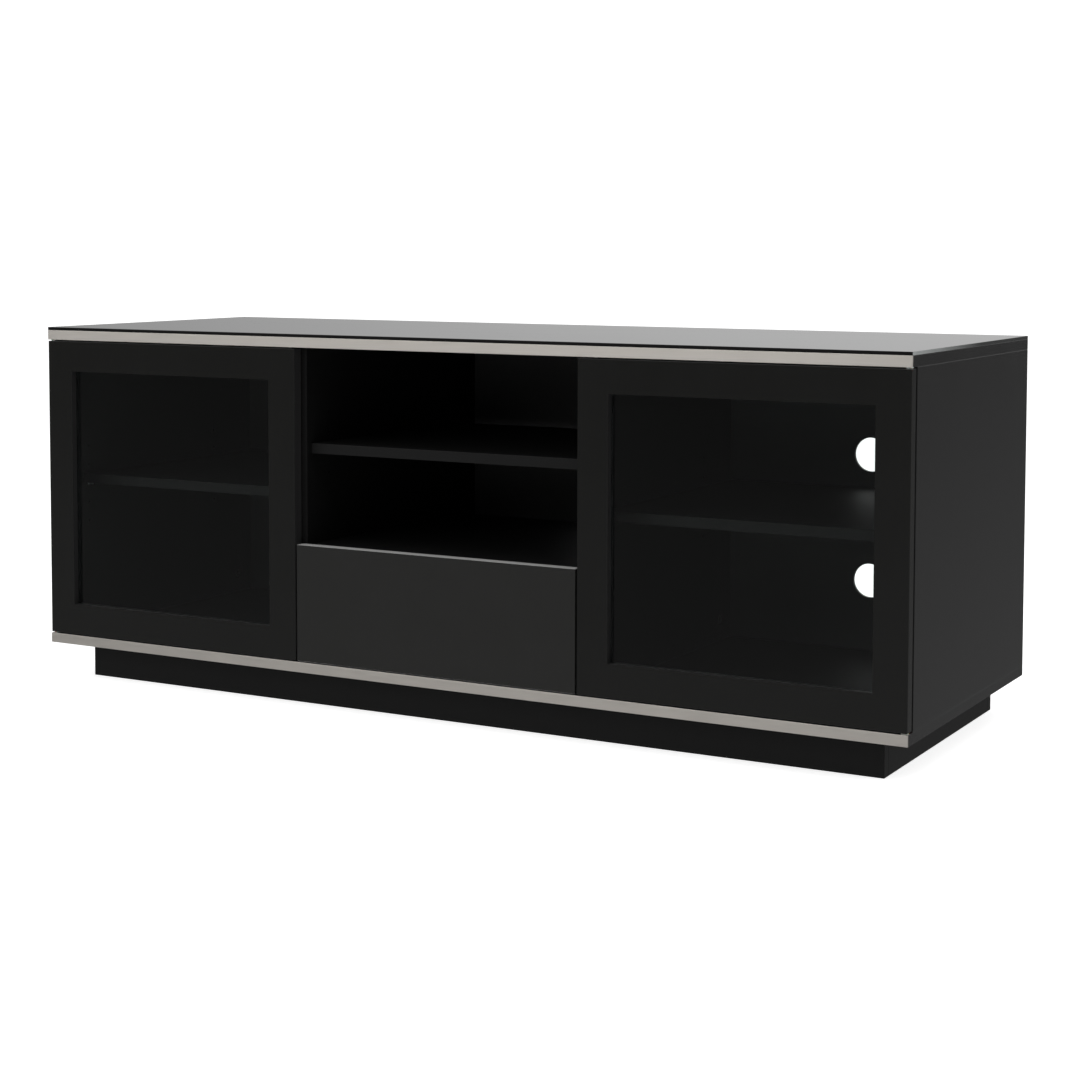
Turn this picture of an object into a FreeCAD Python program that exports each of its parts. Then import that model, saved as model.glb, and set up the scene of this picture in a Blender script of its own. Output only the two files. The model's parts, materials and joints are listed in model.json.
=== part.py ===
import FreeCAD, Part
import os
import Sketcher

# Media cabinet: a low carcass with a black glass top, two framed glass doors,
# a centre bay over one drawer, and a recessed plinth.
# Frame: X across the front, Y front to back, Z up. The origin is the centre of
# the cabinet's footprint on the floor, and the doors face -Y.

doc = FreeCAD.newDocument("MediaCabinet")

# ---------------------------------------------------------------- sizes (mm)

SIZES = [
    ("width", 1500, "overall width"),
    ("depth", 540, "overall depth, from the door fronts to the back"),
    ("height", 590, "overall height, floor to the top of the glass"),
    ("board", 16, "thickness of the carcass boards"),
    ("glass_top", 5, "thickness of the glass on the top"),
    ("edge_round", 0.6, "rounding on the boards' edges"),
    ("trim_thick", 2, "thickness of the metal edge trims"),
    ("plinth_height", 60, "height of the plinth"),
    ("plinth_setback", 50, "plinth behind the fronts and in from the sides"),
    ("plinth_block", 34, "side of the square blocks in the plinth"),
    ("plinth_block_tall", 44, "height of the blocks in the plinth"),
    ("back_thick", 6, "thickness of the back panels"),
    ("back_rebate", 8, "width of the side panels' rebate for the backs"),
    ("back_joint", 1, "gap between neighbouring back panels"),
    ("cable_hole", 55, "diameter of the cable holes"),
    ("cable_hole_shift", 5, "side cable holes, outwards from their compartment's middle"),
    ("cable_hole_upper", 393, "upper cable holes, height above the floor"),
    ("cable_hole_lower", 189, "lower cable holes, height above the floor"),
    ("front_thick", 18, "thickness of the doors and the drawer front"),
    ("front_gap", 2, "gap between the fronts and the carcass"),
    ("front_reveal", 3, "gap between two neighbouring fronts"),
    ("door_side_margin", 1, "door edge in from the cabinet's side"),
    ("door_rail", 50, "width of the door frame's rails and stiles"),
    ("pane_recess", 10, "door face to the face of its glass pane"),
    ("pane_thick", 4, "thickness of the door glass"),
    ("pane_lap", 8, "width of the rebate that holds the door glass"),
    ("pane_play", 0.5, "play around the door glass in its rebate"),
    ("pivot_in", 6, "door pivot, in from the door's outer edge"),
    ("pivot_trim_gap", 0.5, "pivot bush's flange behind the metal trims"),
    ("pivot_pin", 5, "diameter of the pivot pins"),
    ("pivot_grip", 20, "length of pivot pin held in the door"),
    ("pivot_play", 0.05, "radial running clearance in the pivot bushes"),
    ("pivot_end_gap", 1, "end of a pivot pin short of its bush's end"),
    ("collar_wide", 9, "diameter of the pivot pin's collar"),
    ("bush_wide", 8, "outer diameter of the pivot bushes"),
    ("bush_deep", 12, "depth of the pivot bushes in the boards"),
    ("bush_flange", 11, "diameter of the bush flange"),
    ("bush_flange_thick", 1, "thickness of the bush flange"),
    ("shelf_height", 248, "side shelves' underside above the compartment floor"),
    ("shelf_setback", 44, "side shelves' front edge behind the carcass front"),
    ("shelf_play", 1, "play at each end of a loose shelf"),
    ("shelf_back_gap", 2, "side shelves' rear edge to the back panel"),
    ("bay_floor_height", 167, "bay floor's underside above the carcass floor"),
    ("bay_shelf_height", 143, "bay shelf's underside above the bay floor"),
    ("bay_shelf_setback", 10, "bay shelf's front edge behind the carcass front"),
    ("bay_cable_gap", 70, "bay floor and shelf rear edge to the back panel"),
    ("peg", 5, "diameter of the shelf pegs and their holes"),
    ("peg_deep", 7, "depth of the shelf peg holes"),
    ("peg_out", 9, "length of peg under the shelf"),
    ("peg_pitch", 32, "spacing of the shelf peg holes"),
    ("peg_front", 60, "front row of peg holes behind the carcass front"),
    ("peg_rear", 110, "rear row of peg holes in front of the back panel"),
    ("fixing_inset", 40, "cams in from a board's front and rear edges"),
    ("dowel_inset", 80, "dowels in from a board's front and rear edges"),
    ("cam_wide", 15, "diameter of the cam locks' holes"),
    ("cam_past_bore", 0.5, "depth of the cam locks' holes past the bolts' bores"),
    ("cam_play", 0.1, "radial play of the cam locks in their holes"),
    ("cam_reach", 34, "end of a board to the centre of its cam lock"),
    ("bolt_bore", 8, "diameter of the cam bolts' bores"),
    ("bolt_thread", 5, "diameter of the cam bolts' threaded end"),
    ("bolt_thread_deep", 11, "depth of the cam bolts' threaded end"),
    ("bolt_shank", 6, "diameter of the cam bolts' shank"),
    ("bolt_neck", 4, "diameter of the cam bolts' neck"),
    ("bolt_head", 7, "diameter of the cam bolts' head"),
    ("bolt_head_long", 4, "length of the cam bolts' head"),
    ("dowel", 8, "diameter of the dowels"),
    ("dowel_in_end", 20, "length of a dowel in a board's end"),
    ("dowel_in_face", 10, "length of a dowel in a board's face"),
    ("screw", 3.5, "diameter of the wood screws"),
    ("screw_head", 7, "diameter of the screw heads"),
    ("screw_head_tall", 2, "height of the countersunk screw heads"),
    ("screw_hole", 4, "diameter of the screws' clearance holes"),
    ("screw_bite", 14, "length of screw in the second board"),
    ("plinth_screw_bite", 10, "length of a plinth screw in the bottom panel"),
    ("drawer_side_thick", 12, "thickness of the drawer box's sides"),
    ("drawer_rear_gap", 64, "rear of the drawer box to the back panel"),
    ("drawer_head_gap", 15, "top of the drawer box to the bay floor"),
    ("drawer_box_lift", 22, "drawer box above the carcass floor"),
    ("drawer_base_thick", 6, "thickness of the drawer's base"),
    ("drawer_base_lift", 10, "base above the lower edge of the box's sides"),
    ("drawer_groove", 6, "depth of the grooves that hold the base"),
    ("drawer_cover", 2, "drawer front above the top of the bay floor"),
    ("runner_tall", 45, "height of the runners' outer channel"),
    ("runner_thick", 13, "thickness of a runner, closed"),
    ("runner_sheet", 1.2, "sheet thickness of the runners"),
    ("runner_ball", 3, "ball track between the runners' channels"),
    ("runner_step", 4, "middle channel's web out from the outer web"),
    ("runner_lip", 1.5, "outer channel's lips short of the drawer side"),
    ("runner_middle_lip", 1.8, "middle channel's lips short of the drawer side"),
    ("runner_inner_deep", 5, "width of the inner channel"),
    ("latch_wide", 16, "width and height of a push latch"),
    ("latch_long", 50, "length of a door's push latch"),
    ("latch_play", 3, "face of a push latch to what it pushes"),
    ("latch_in", 14, "push latch, in from the compartment's side"),
    ("plunger", 8, "diameter of the latch plungers"),
    ("plunger_long", 42, "length of the latch plungers"),
    ("plunger_play", 0.05, "radial running clearance of the plungers"),
    ("plunger_end_gap", 1, "end of a plunger short of its bore's end"),
    ("strike_wide", 14, "diameter of the strike plates"),
    ("strike_thick", 1, "thickness of the strike plates"),
    ("buffer_wide", 5, "diameter of the door buffers"),
    ("buffer_thick", 1.6, "thickness of the door buffers"),
    ("pad_wide", 14, "diameter of the pads under the glass top"),
    ("pad_thick", 1, "thickness of the pads under the glass top"),
    ("pad_inset", 70, "pads in from the top panel's edges"),
]

sheet = doc.addObject("Spreadsheet::Sheet", "Sizes")
for row, (alias, size, meaning) in enumerate(SIZES, start=1):
    sheet.set(f"A{row}", meaning)
    sheet.set(f"B{row}", str(size))
    sheet.setAlias(f"B{row}", alias)
doc.recompute()

# ------------------------------------------------- places, worked from sizes

half_width = "(Sizes.width / 2)"
front = "(-Sizes.depth / 2)"
rear = "(Sizes.depth / 2)"
carcass_front = f"({front} + Sizes.front_thick + Sizes.front_gap)"
front_back = f"({front} + Sizes.front_thick)"
back_face = f"({rear} - Sizes.back_thick)"
floor_top = "(Sizes.plinth_height + Sizes.board)"
ceiling = "(Sizes.height - Sizes.glass_top - Sizes.board)"
panel_top = "(Sizes.height - Sizes.glass_top)"
inside_tall = f"({ceiling} - {floor_top})"
inside_deep = f"({rear} - {carcass_front})"
bay_width = "((Sizes.width - 4 * Sizes.board) / 3)"
bay_side = f"({bay_width} / 2)"
divider_mid = f"({bay_side} + Sizes.board / 2)"
divider_out = f"({bay_side} + Sizes.board)"
side_in = f"({half_width} - Sizes.board)"
side_mid = f"({half_width} - Sizes.board / 2)"
fixing_rows = {
    "front": f"({carcass_front} + Sizes.fixing_inset)",
    "rear": f"({back_face} - Sizes.fixing_inset)",
}
dowel_rows = {
    "front": f"({carcass_front} + Sizes.dowel_inset)",
    "rear": f"({back_face} - Sizes.dowel_inset)",
}
peg_rows = {
    "front": f"({carcass_front} + Sizes.peg_front)",
    "rear": f"({back_face} - Sizes.peg_rear)",
}
bay_floor_low = f"({floor_top} + Sizes.bay_floor_height)"
bay_floor_top = f"({bay_floor_low} + Sizes.board)"
bay_shelf_low = f"({bay_floor_top} + Sizes.bay_shelf_height)"
shelf_low = f"({floor_top} + Sizes.shelf_height)"
bay_rear = f"({back_face} - Sizes.bay_cable_gap)"
fronts_low = f"({floor_top} + Sizes.front_gap)"
fronts_high = f"({ceiling} - Sizes.front_gap)"
door_in = f"({divider_mid} + Sizes.front_reveal / 2)"
door_out = f"({half_width} - Sizes.door_side_margin)"
pivot_x = f"({door_out} - Sizes.pivot_in)"
pivot_y = f"({front} + Sizes.trim_thick + Sizes.bush_flange / 2 + Sizes.pivot_trim_gap)"
cam_deep = "(Sizes.board / 2 + Sizes.bolt_bore / 2 + Sizes.cam_past_bore)"
latch_x = f"({divider_out} + Sizes.latch_in)"
latch_z = f"({ceiling} - Sizes.latch_wide / 2)"
strike_face = f"({front_back} + Sizes.strike_thick)"
drawer_half = f"({divider_mid} - Sizes.front_reveal / 2)"
drawer_top = f"({bay_floor_top} + Sizes.drawer_cover)"
box_out = f"({bay_side} - Sizes.runner_thick)"
box_in = f"({box_out} - Sizes.drawer_side_thick)"
box_low = f"({floor_top} + Sizes.drawer_box_lift)"
box_tall = f"({bay_floor_low} - Sizes.drawer_head_gap - {box_low})"
box_mid = f"({box_low} + {box_tall} / 2)"
box_rear = f"({back_face} - Sizes.drawer_rear_gap)"
box_deep = f"({box_rear} - {front_back})"
base_low = f"({box_low} + Sizes.drawer_base_lift)"
runner_low = f"({box_mid} - Sizes.runner_tall / 2)"
runner_deep = f"({box_rear} - {carcass_front})"
cable_hole_x = f"(({divider_out} + {side_in}) / 2 + Sizes.cable_hole_shift)"
plinth_front = f"({front} + Sizes.plinth_setback)"
plinth_out = f"({half_width} - Sizes.plinth_setback)"

SIDES = {"left": -1, "right": 1}
PEG_ROWS_UP = 2

nodes = {}
rotation_of = {
    "+X": FreeCAD.Rotation(FreeCAD.Vector(0, 0, 1), FreeCAD.Vector(1, 0, 0)),
    "-X": FreeCAD.Rotation(FreeCAD.Vector(0, 0, 1), FreeCAD.Vector(-1, 0, 0)),
    "+Y": FreeCAD.Rotation(FreeCAD.Vector(0, 0, 1), FreeCAD.Vector(0, 1, 0)),
    "-Y": FreeCAD.Rotation(FreeCAD.Vector(0, 0, 1), FreeCAD.Vector(0, -1, 0)),
    "+Z": FreeCAD.Rotation(),
    "-Z": FreeCAD.Rotation(FreeCAD.Vector(1, 0, 0), 180),
}
# face: sketch plane, the axis across it, high side of the board, pocket reversed
FACES = {
    "left": ("YZ_Plane", 0, False, True),
    "right": ("YZ_Plane", 0, True, False),
    "front": ("XZ_Plane", 1, False, False),
    "rear": ("XZ_Plane", 1, True, True),
    "under": ("XY_Plane", 2, False, True),
    "upper": ("XY_Plane", 2, True, False),
}
PLANE_AXES = {"XY_Plane": (0, 1), "XZ_Plane": (0, 2), "YZ_Plane": (1, 2)}


# ------------------------------------------------------------------- helpers

def value(expression):
    """The number that an expression in the sheet's sizes comes to."""
    result = sheet.evalExpression(expression)
    return float(getattr(result, "Value", result))


def mirrored(sign, near, far):
    """Low X of a piece that spans near to far on the side that sign gives."""
    return near if sign > 0 else f"(-{far})"


def signed(sign, place):
    """An X on the side that sign gives."""
    return place if sign > 0 else f"(-{place})"


def bind(thing, prop, expression):
    """Bind a property, and leave out an expression that is only zero."""
    if expression != "0":
        thing.setExpression(prop, expression)


def place_at(thing, point, heading="+Z"):
    """Bind an object's position and turn its own +Z to the heading."""
    thing.Placement = FreeCAD.Placement(FreeCAD.Vector(), rotation_of[heading])
    for axis, expression in zip("xyz", point):
        bind(thing, f"Placement.Base.{axis}", expression)


def keep(label, thing):
    """Give a finished sub-part its label and put it on the list of nodes."""
    thing.Label = label
    nodes[label] = thing
    return thing


def bound_constraint(sketch, constraint, name, expression):
    """Add one constraint and bind its size to the sheet."""
    index = sketch.addConstraint(constraint)
    sketch.renameConstraint(index, name)
    sketch.setExpression(f"Constraints.{name}", expression)


def draw_corner(sketch, geometry, point, tag, left, low):
    """Tie one point of a sketch's geometry to the sketch's origin."""
    if left == "0" and low == "0":
        sketch.addConstraint(Sketcher.Constraint("Coincident", geometry, point, -1, 1))
        return
    across = Sketcher.Constraint("DistanceX", -1, 1, geometry, point, value(left))
    upward = Sketcher.Constraint("DistanceY", -1, 1, geometry, point, value(low))
    bound_constraint(sketch, across, f"{tag}_x", left)
    bound_constraint(sketch, upward, f"{tag}_y", low)


def draw_rectangle(sketch, left, low, wide, tall):
    """A rectangle by its corner and its two sizes, fully constrained."""
    first = sketch.GeometryCount
    tag = f"r{first}"
    x0, y0 = value(left), value(low)
    x1, y1 = x0 + value(wide), y0 + value(tall)
    corners = [(x0, y0), (x1, y0), (x1, y1), (x0, y1)]
    for start, end in zip(corners, corners[1:] + corners[:1]):
        line = Part.LineSegment(FreeCAD.Vector(*start, 0), FreeCAD.Vector(*end, 0))
        sketch.addGeometry(line, False)
    for side in range(4):
        joined = first + (side + 1) % 4
        sketch.addConstraint(Sketcher.Constraint("Coincident", first + side, 2, joined, 1))
    for side, kind in enumerate(("Horizontal", "Vertical", "Horizontal", "Vertical")):
        sketch.addConstraint(Sketcher.Constraint(kind, first + side))
    right = first + 1
    across = Sketcher.Constraint("DistanceX", first, 1, first, 2, x1 - x0)
    upward = Sketcher.Constraint("DistanceY", right, 1, right, 2, y1 - y0)
    bound_constraint(sketch, across, f"{tag}_wide", wide)
    bound_constraint(sketch, upward, f"{tag}_tall", tall)
    draw_corner(sketch, first, 1, tag, left, low)


def draw_circle(sketch, across, up, wide):
    """A circle by its centre and its diameter, fully constrained."""
    tag = f"c{sketch.GeometryCount}"
    centre = FreeCAD.Vector(value(across), value(up), 0)
    circle = Part.Circle(centre, FreeCAD.Vector(0, 0, 1), value(wide) / 2)
    index = sketch.addGeometry(circle, False)
    size = Sketcher.Constraint("Diameter", index, value(wide))
    bound_constraint(sketch, size, f"{tag}_wide", wide)
    draw_corner(sketch, index, 3, tag, across, up)


def new_sketch(body, name, plane, offset="0"):
    """A sketch on one of the body's own origin planes, moved along its normal."""
    sketch = body.newObject("Sketcher::SketchObject", name)
    datum = next(item for item in body.Origin.OriginFeatures if item.Role == plane)
    sketch.AttachmentSupport = (datum, [""])
    sketch.MapMode = "FlatFace"
    bind(sketch, "AttachmentOffset.Base.z", offset)
    return sketch


def new_board(label, low, size, rounded=False):
    """A board as a padded rectangle with its low corner at the body's origin."""
    body = doc.addObject("PartDesign::Body", label)
    place_at(body, low)
    sketch = new_sketch(body, f"{label}_outline", "XY_Plane")
    draw_rectangle(sketch, "0", "0", size[0], size[1])
    pad = body.newObject("PartDesign::Pad", f"{label}_pad")
    pad.Profile = sketch
    pad.setExpression("Length", size[2])
    doc.recompute()
    body.Tip = pad
    if rounded:
        fillet = body.newObject("PartDesign::Fillet", f"{label}_edges")
        every_edge = [f"Edge{number + 1}" for number in range(len(pad.Shape.Edges))]
        fillet.Base = (pad, every_edge)
        fillet.setExpression("Radius", "Sizes.edge_round")
        body.Tip = fillet
        doc.recompute()
    body.addProperty("App::PropertyStringList", "LowCorner", "Board")
    body.addProperty("App::PropertyStringList", "BoardSize", "Board")
    body.LowCorner = list(low)
    body.BoardSize = list(size)
    return keep(label, body)


def cut(body, name, face, deep, circles=(), rectangles=()):
    """Sink holes and slots, placed in the cabinet's own frame, into one face."""
    plane, normal, high, reverse = FACES[face]
    across, up = PLANE_AXES[plane]
    offset = body.BoardSize[normal] if high else "0"
    if high and plane == "XZ_Plane":
        offset = f"(-{offset})"
    sketch = new_sketch(body, f"{body.Label}_{name}_outline", plane, offset)
    low = body.LowCorner
    for place, height, wide in circles:
        draw_circle(sketch, f"{place} - {low[across]}", f"{height} - {low[up]}", wide)
    for place, height, wide, tall in rectangles:
        corner = (f"{place} - {low[across]}", f"{height} - {low[up]}")
        draw_rectangle(sketch, corner[0], corner[1], wide, tall)
    before = body.Shape.Volume
    pocket = body.newObject("PartDesign::Pocket", f"{body.Label}_{name}")
    pocket.Profile = sketch
    pocket.Reversed = reverse
    pocket.setExpression("Length", deep)
    body.Tip = pocket
    doc.recompute()
    if not body.Shape.Volume < before:
        raise RuntimeError(f"{body.Label}: {name} cuts nothing")


def turned(name, point, heading, steps):
    """Cylinders and cones stacked along the heading, fused into one piece."""
    axis = "XYZ".index(heading[1])
    sign = heading[0]
    pieces = []
    travelled = "0"
    for number, (start_wide, end_wide, long) in enumerate(steps):
        kind = "Part::Cylinder" if start_wide == end_wide else "Part::Cone"
        piece = doc.addObject(kind, f"{name}_step{number}")
        if kind == "Part::Cylinder":
            piece.setExpression("Radius", f"{start_wide} / 2")
        else:
            piece.setExpression("Radius1", f"{start_wide} / 2")
            piece.setExpression("Radius2", f"{end_wide} / 2")
        piece.setExpression("Height", long)
        place = list(point)
        place[axis] = f"{point[axis]} {sign} ({travelled})"
        place_at(piece, place, heading)
        pieces.append(piece)
        travelled = f"{travelled} + {long}"
    if len(pieces) == 1:
        return pieces[0]
    fused = doc.addObject("Part::MultiFuse", name)
    fused.Shapes = pieces
    return fused


def rod(name, point, heading, wide, long):
    """One cylinder from a point along a heading."""
    return turned(name, point, heading, [(wide, wide, long)])


def less(name, base, tool):
    """One solid with another cut out of it."""
    result = doc.addObject("Part::Cut", name)
    result.Base = base
    result.Tool = tool
    return result


def group(label, pieces):
    """Like pieces kept as separate solids in one node."""
    together = doc.addObject("Part::Compound", label)
    together.Links = pieces
    return keep(label, together)


# ----------------------------------------------------- top, floor and verticals

def make_top_and_floor():
    """The two full-width boards, their metal trims and the glass on top."""
    board_size = ("Sizes.width", "Sizes.depth - Sizes.trim_thick", "Sizes.board")
    board_low = (f"(-{half_width})", f"({front} + Sizes.trim_thick)")
    top = new_board("top_panel", (*board_low, ceiling), board_size, rounded=True)
    low = new_board("bottom_panel", (*board_low, "Sizes.plinth_height"), board_size, rounded=True)
    for panel, face in ((top, "under"), (low, "upper")):
        uprights = [signed(sign, mid) for sign in SIDES.values() for mid in (side_mid, divider_mid)]
        bolts = [(x, y, "Sizes.bolt_thread") for x in uprights for y in fixing_rows.values()]
        pegs = [(x, y, "Sizes.dowel") for x in uprights for y in dowel_rows.values()]
        bushes = [(signed(sign, pivot_x), pivot_y, "Sizes.bush_wide") for sign in SIDES.values()]
        cut(panel, "bolt_holes", face, "Sizes.bolt_thread_deep", bolts)
        cut(panel, "dowel_holes", face, "Sizes.dowel_in_face", pegs)
        cut(panel, "bush_holes", face, "Sizes.bush_deep", bushes)
    pads = [(x, y, "Sizes.pad_wide") for x, y in pad_places()]
    cut(top, "pad_seats", "upper", "Sizes.pad_thick", pads)
    trim_size = ("Sizes.width", "Sizes.trim_thick", "Sizes.board")
    for label, height in (("top_trim", ceiling), ("bottom_trim", "Sizes.plinth_height")):
        new_board(label, (f"(-{half_width})", front, height), trim_size, rounded=True)
    glass_size = ("Sizes.width", "Sizes.depth", "Sizes.glass_top")
    new_board("glass_top", (f"(-{half_width})", front, panel_top), glass_size, rounded=True)
    seats = []
    for number, (x, y) in enumerate(pad_places()):
        point = (x, y, f"({panel_top} - Sizes.pad_thick)")
        seats.append(rod(f"glass_pad_{number}", point, "+Z", "Sizes.pad_wide", "Sizes.pad_thick"))
    group("glass_pads", seats)


def pad_places():
    """Where the pads lie: the four corners and the middle of the long edges."""
    across = (f"(-{half_width} + Sizes.pad_inset)", "0", f"({half_width} - Sizes.pad_inset)")
    along = (f"({front} + Sizes.pad_inset)", f"({rear} - Sizes.pad_inset)")
    return [(x, y) for x in across for y in along]


def peg_heights(shelf):
    """Peg holes a pitch apart, with the middle one just under the shelf."""
    middle = f"({shelf} - Sizes.peg / 2)"
    return [f"({middle} + {step} * Sizes.peg_pitch)" for step in range(-PEG_ROWS_UP, PEG_ROWS_UP + 1)]


def drill_upright(panel, mid, compartment_face):
    """Cam, bolt, dowel and shelf peg holes of one upright board."""
    cam_heights = (f"({floor_top} + Sizes.cam_reach)", f"({ceiling} - Sizes.cam_reach)")
    cams = [(y, z, "Sizes.cam_wide") for y in fixing_rows.values() for z in cam_heights]
    pegs = [(y, z, "Sizes.peg") for y in peg_rows.values() for z in peg_heights(shelf_low)]
    cut(panel, "cam_holes", compartment_face, cam_deep, cams)
    cut(panel, "peg_holes", compartment_face, "Sizes.peg_deep", pegs)
    bores = [(mid, y, "Sizes.bolt_bore") for y in fixing_rows.values()]
    dowels = [(mid, y, "Sizes.dowel") for y in dowel_rows.values()]
    for face in ("under", "upper"):
        cut(panel, f"bolt_bores_{face}", face, "Sizes.cam_reach", bores)
        cut(panel, f"dowel_holes_{face}", face, "Sizes.dowel_in_end", dowels)


def make_uprights():
    """The side panels, rebated for the backs, and the two dividers."""
    for side, sign in SIDES.items():
        inner_face = "left" if sign > 0 else "right"
        outer_face = "right" if sign > 0 else "left"
        low = (mirrored(sign, side_in, half_width), carcass_front, floor_top)
        size = ("Sizes.board", inside_deep, inside_tall)
        panel = new_board(f"side_panel_{side}", low, size, rounded=True)
        drill_upright(panel, signed(sign, side_mid), inner_face)
        rebate_low = mirrored(sign, side_in, f"({side_in} + Sizes.back_rebate)")
        rebate = (rebate_low, floor_top, "Sizes.back_rebate", inside_tall)
        cut(panel, "back_rebate", "rear", "Sizes.back_thick", rectangles=[rebate])
        low = (mirrored(sign, bay_side, divider_out), carcass_front, floor_top)
        size = ("Sizes.board", f"({back_face} - {carcass_front})", inside_tall)
        divider = new_board(f"divider_{side}", low, size, rounded=True)
        drill_upright(divider, signed(sign, divider_mid), outer_face)
        pegs = [(y, z, "Sizes.peg") for y in peg_rows.values() for z in peg_heights(bay_shelf_low)]
        cut(divider, "bay_peg_holes", inner_face, "Sizes.peg_deep", pegs)
        floor_pegs = [(y, f"({bay_floor_low} + Sizes.board / 2)", "Sizes.peg") for y in floor_rows()]
        cut(divider, "bay_floor_holes", inner_face, "Sizes.peg_deep", floor_pegs)


def floor_rows():
    """The bay floor's pegs, front and rear."""
    return (f"({carcass_front} + Sizes.fixing_inset)", f"({bay_rear} - Sizes.fixing_inset)")


def make_joinery():
    """Cam locks, cam bolts and dowels that join the uprights to top and floor."""
    locks, bolts, dowels = [], [], []
    shank = "(Sizes.cam_reach - 2 * Sizes.bolt_head_long)"
    steps = [
        ("Sizes.bolt_thread", "Sizes.bolt_thread", "Sizes.bolt_thread_deep"),
        ("Sizes.bolt_shank", "Sizes.bolt_shank", shank),
        ("Sizes.bolt_neck", "Sizes.bolt_neck", "(1.5 * Sizes.bolt_head_long)"),
        ("Sizes.bolt_head", "Sizes.bolt_head", "Sizes.bolt_head_long"),
    ]
    cam_body = "(Sizes.cam_wide - 2 * Sizes.cam_play)"
    # a cam's mouth runs from the end of its board to just past the bolt's head
    cam_mouth = "(Sizes.cam_reach + 1.5 * Sizes.bolt_head_long)"
    ends = {
        "foot": ("+Z", floor_top, f"({floor_top} - Sizes.bolt_thread_deep)",
                 f"({floor_top} + Sizes.cam_reach)"),
        "head": ("-Z", ceiling, f"({ceiling} + Sizes.bolt_thread_deep)",
                 f"({ceiling} - Sizes.cam_reach)"),
    }
    dowel_lows = {
        "foot": f"({floor_top} - Sizes.dowel_in_face)",
        "head": f"({ceiling} - Sizes.dowel_in_end)",
    }
    dowel_long = "(Sizes.dowel_in_face + Sizes.dowel_in_end)"
    for side, sign in SIDES.items():
        inward, outward = ("+X", "-X") if sign > 0 else ("-X", "+X")
        # the cams of a side panel go in from its inner face, those of a divider from its outer one
        uprights = {
            "side": (side_mid, side_in, inward),
            "divider": (divider_mid, divider_out, outward),
        }
        for board, (mid, face, heading) in uprights.items():
            for end, (up, mouth_start, thread_start, cam_height) in ends.items():
                for row, y in fixing_rows.items():
                    name = f"{board}_{side}_{end}_{row}"
                    start = (signed(sign, mid), y, thread_start)
                    bolts.append(turned(f"cam_bolt_{name}", start, up, steps))
                    cam_at = (signed(sign, face), y, cam_height)
                    drum = rod(f"cam_drum_{name}", cam_at, heading, cam_body, cam_deep)
                    mouth_at = (signed(sign, mid), y, mouth_start)
                    mouth = rod(f"cam_mouth_{name}", mouth_at, up, "Sizes.bolt_bore", cam_mouth)
                    locks.append(less(f"cam_lock_{name}", drum, mouth))
                for row, y in dowel_rows.items():
                    name = f"dowel_{board}_{side}_{end}_{row}"
                    start = (signed(sign, mid), y, dowel_lows[end])
                    dowels.append(rod(name, start, "+Z", "Sizes.dowel", dowel_long))
    group("cam_locks", locks)
    group("cam_bolts", bolts)
    group("dowels", dowels)


# ------------------------------------------------------------- shelves and back

def make_shelves():
    """The loose shelves, the bay floor, and the pegs that they rest on."""
    pegs = []
    peg_long = "(Sizes.peg_deep + Sizes.peg_out)"
    for side, sign in SIDES.items():
        near = f"({divider_out} + Sizes.shelf_play)"
        far = f"({side_in} - Sizes.shelf_play)"
        low_y = f"({carcass_front} + Sizes.shelf_setback)"
        low = (mirrored(sign, near, far), low_y, shelf_low)
        deep = f"({back_face} - Sizes.shelf_back_gap - {low_y})"
        new_board(f"shelf_{side}", low, (f"({far} - {near})", deep, "Sizes.board"), rounded=True)
        outward, inward = ("+X", "-X") if sign > 0 else ("-X", "+X")
        for row, y in peg_rows.items():
            z = f"({shelf_low} - Sizes.peg / 2)"
            near_start = (signed(sign, f"({divider_out} - Sizes.peg_deep)"), y, z)
            far_start = (signed(sign, f"({side_in} + Sizes.peg_deep)"), y, z)
            pegs.append(rod(f"peg_near_{side}_{row}", near_start, outward, "Sizes.peg", peg_long))
            pegs.append(rod(f"peg_far_{side}_{row}", far_start, inward, "Sizes.peg", peg_long))
            bay_z = f"({bay_shelf_low} - Sizes.peg / 2)"
            bay_start = (signed(sign, f"({bay_side} + Sizes.peg_deep)"), y, bay_z)
            pegs.append(rod(f"peg_bay_{side}_{row}", bay_start, inward, "Sizes.peg", peg_long))
    half = f"({bay_side} - Sizes.shelf_play)"
    low_y = f"({carcass_front} + Sizes.bay_shelf_setback)"
    size = (f"(2 * {half})", f"({bay_rear} - {low_y})", "Sizes.board")
    new_board("bay_shelf", (f"(-{half})", low_y, bay_shelf_low), size, rounded=True)
    group("shelf_pegs", pegs + make_bay_floor())


def make_bay_floor():
    """The fixed board over the drawer, and the steel pegs that it hangs on."""
    size = (bay_width, f"({bay_rear} - {carcass_front})", "Sizes.board")
    floor = new_board("bay_floor", (f"(-{bay_side})", carcass_front, bay_floor_low), size, rounded=True)
    height = f"({bay_floor_low} + Sizes.board / 2)"
    holes = [(y, height, "Sizes.peg") for y in floor_rows()]
    pegs = []
    for side, sign in SIDES.items():
        cut(floor, f"peg_holes_{side}", side, "Sizes.dowel_in_end", holes)
        heading = "-X" if sign > 0 else "+X"
        for number, y in enumerate(floor_rows()):
            start = (signed(sign, f"({bay_side} + Sizes.peg_deep)"), y, height)
            long = "(Sizes.peg_deep + Sizes.dowel_in_end)"
            pegs.append(rod(f"bay_floor_peg_{side}_{number}", start, heading, "Sizes.peg", long))
    return pegs


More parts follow.
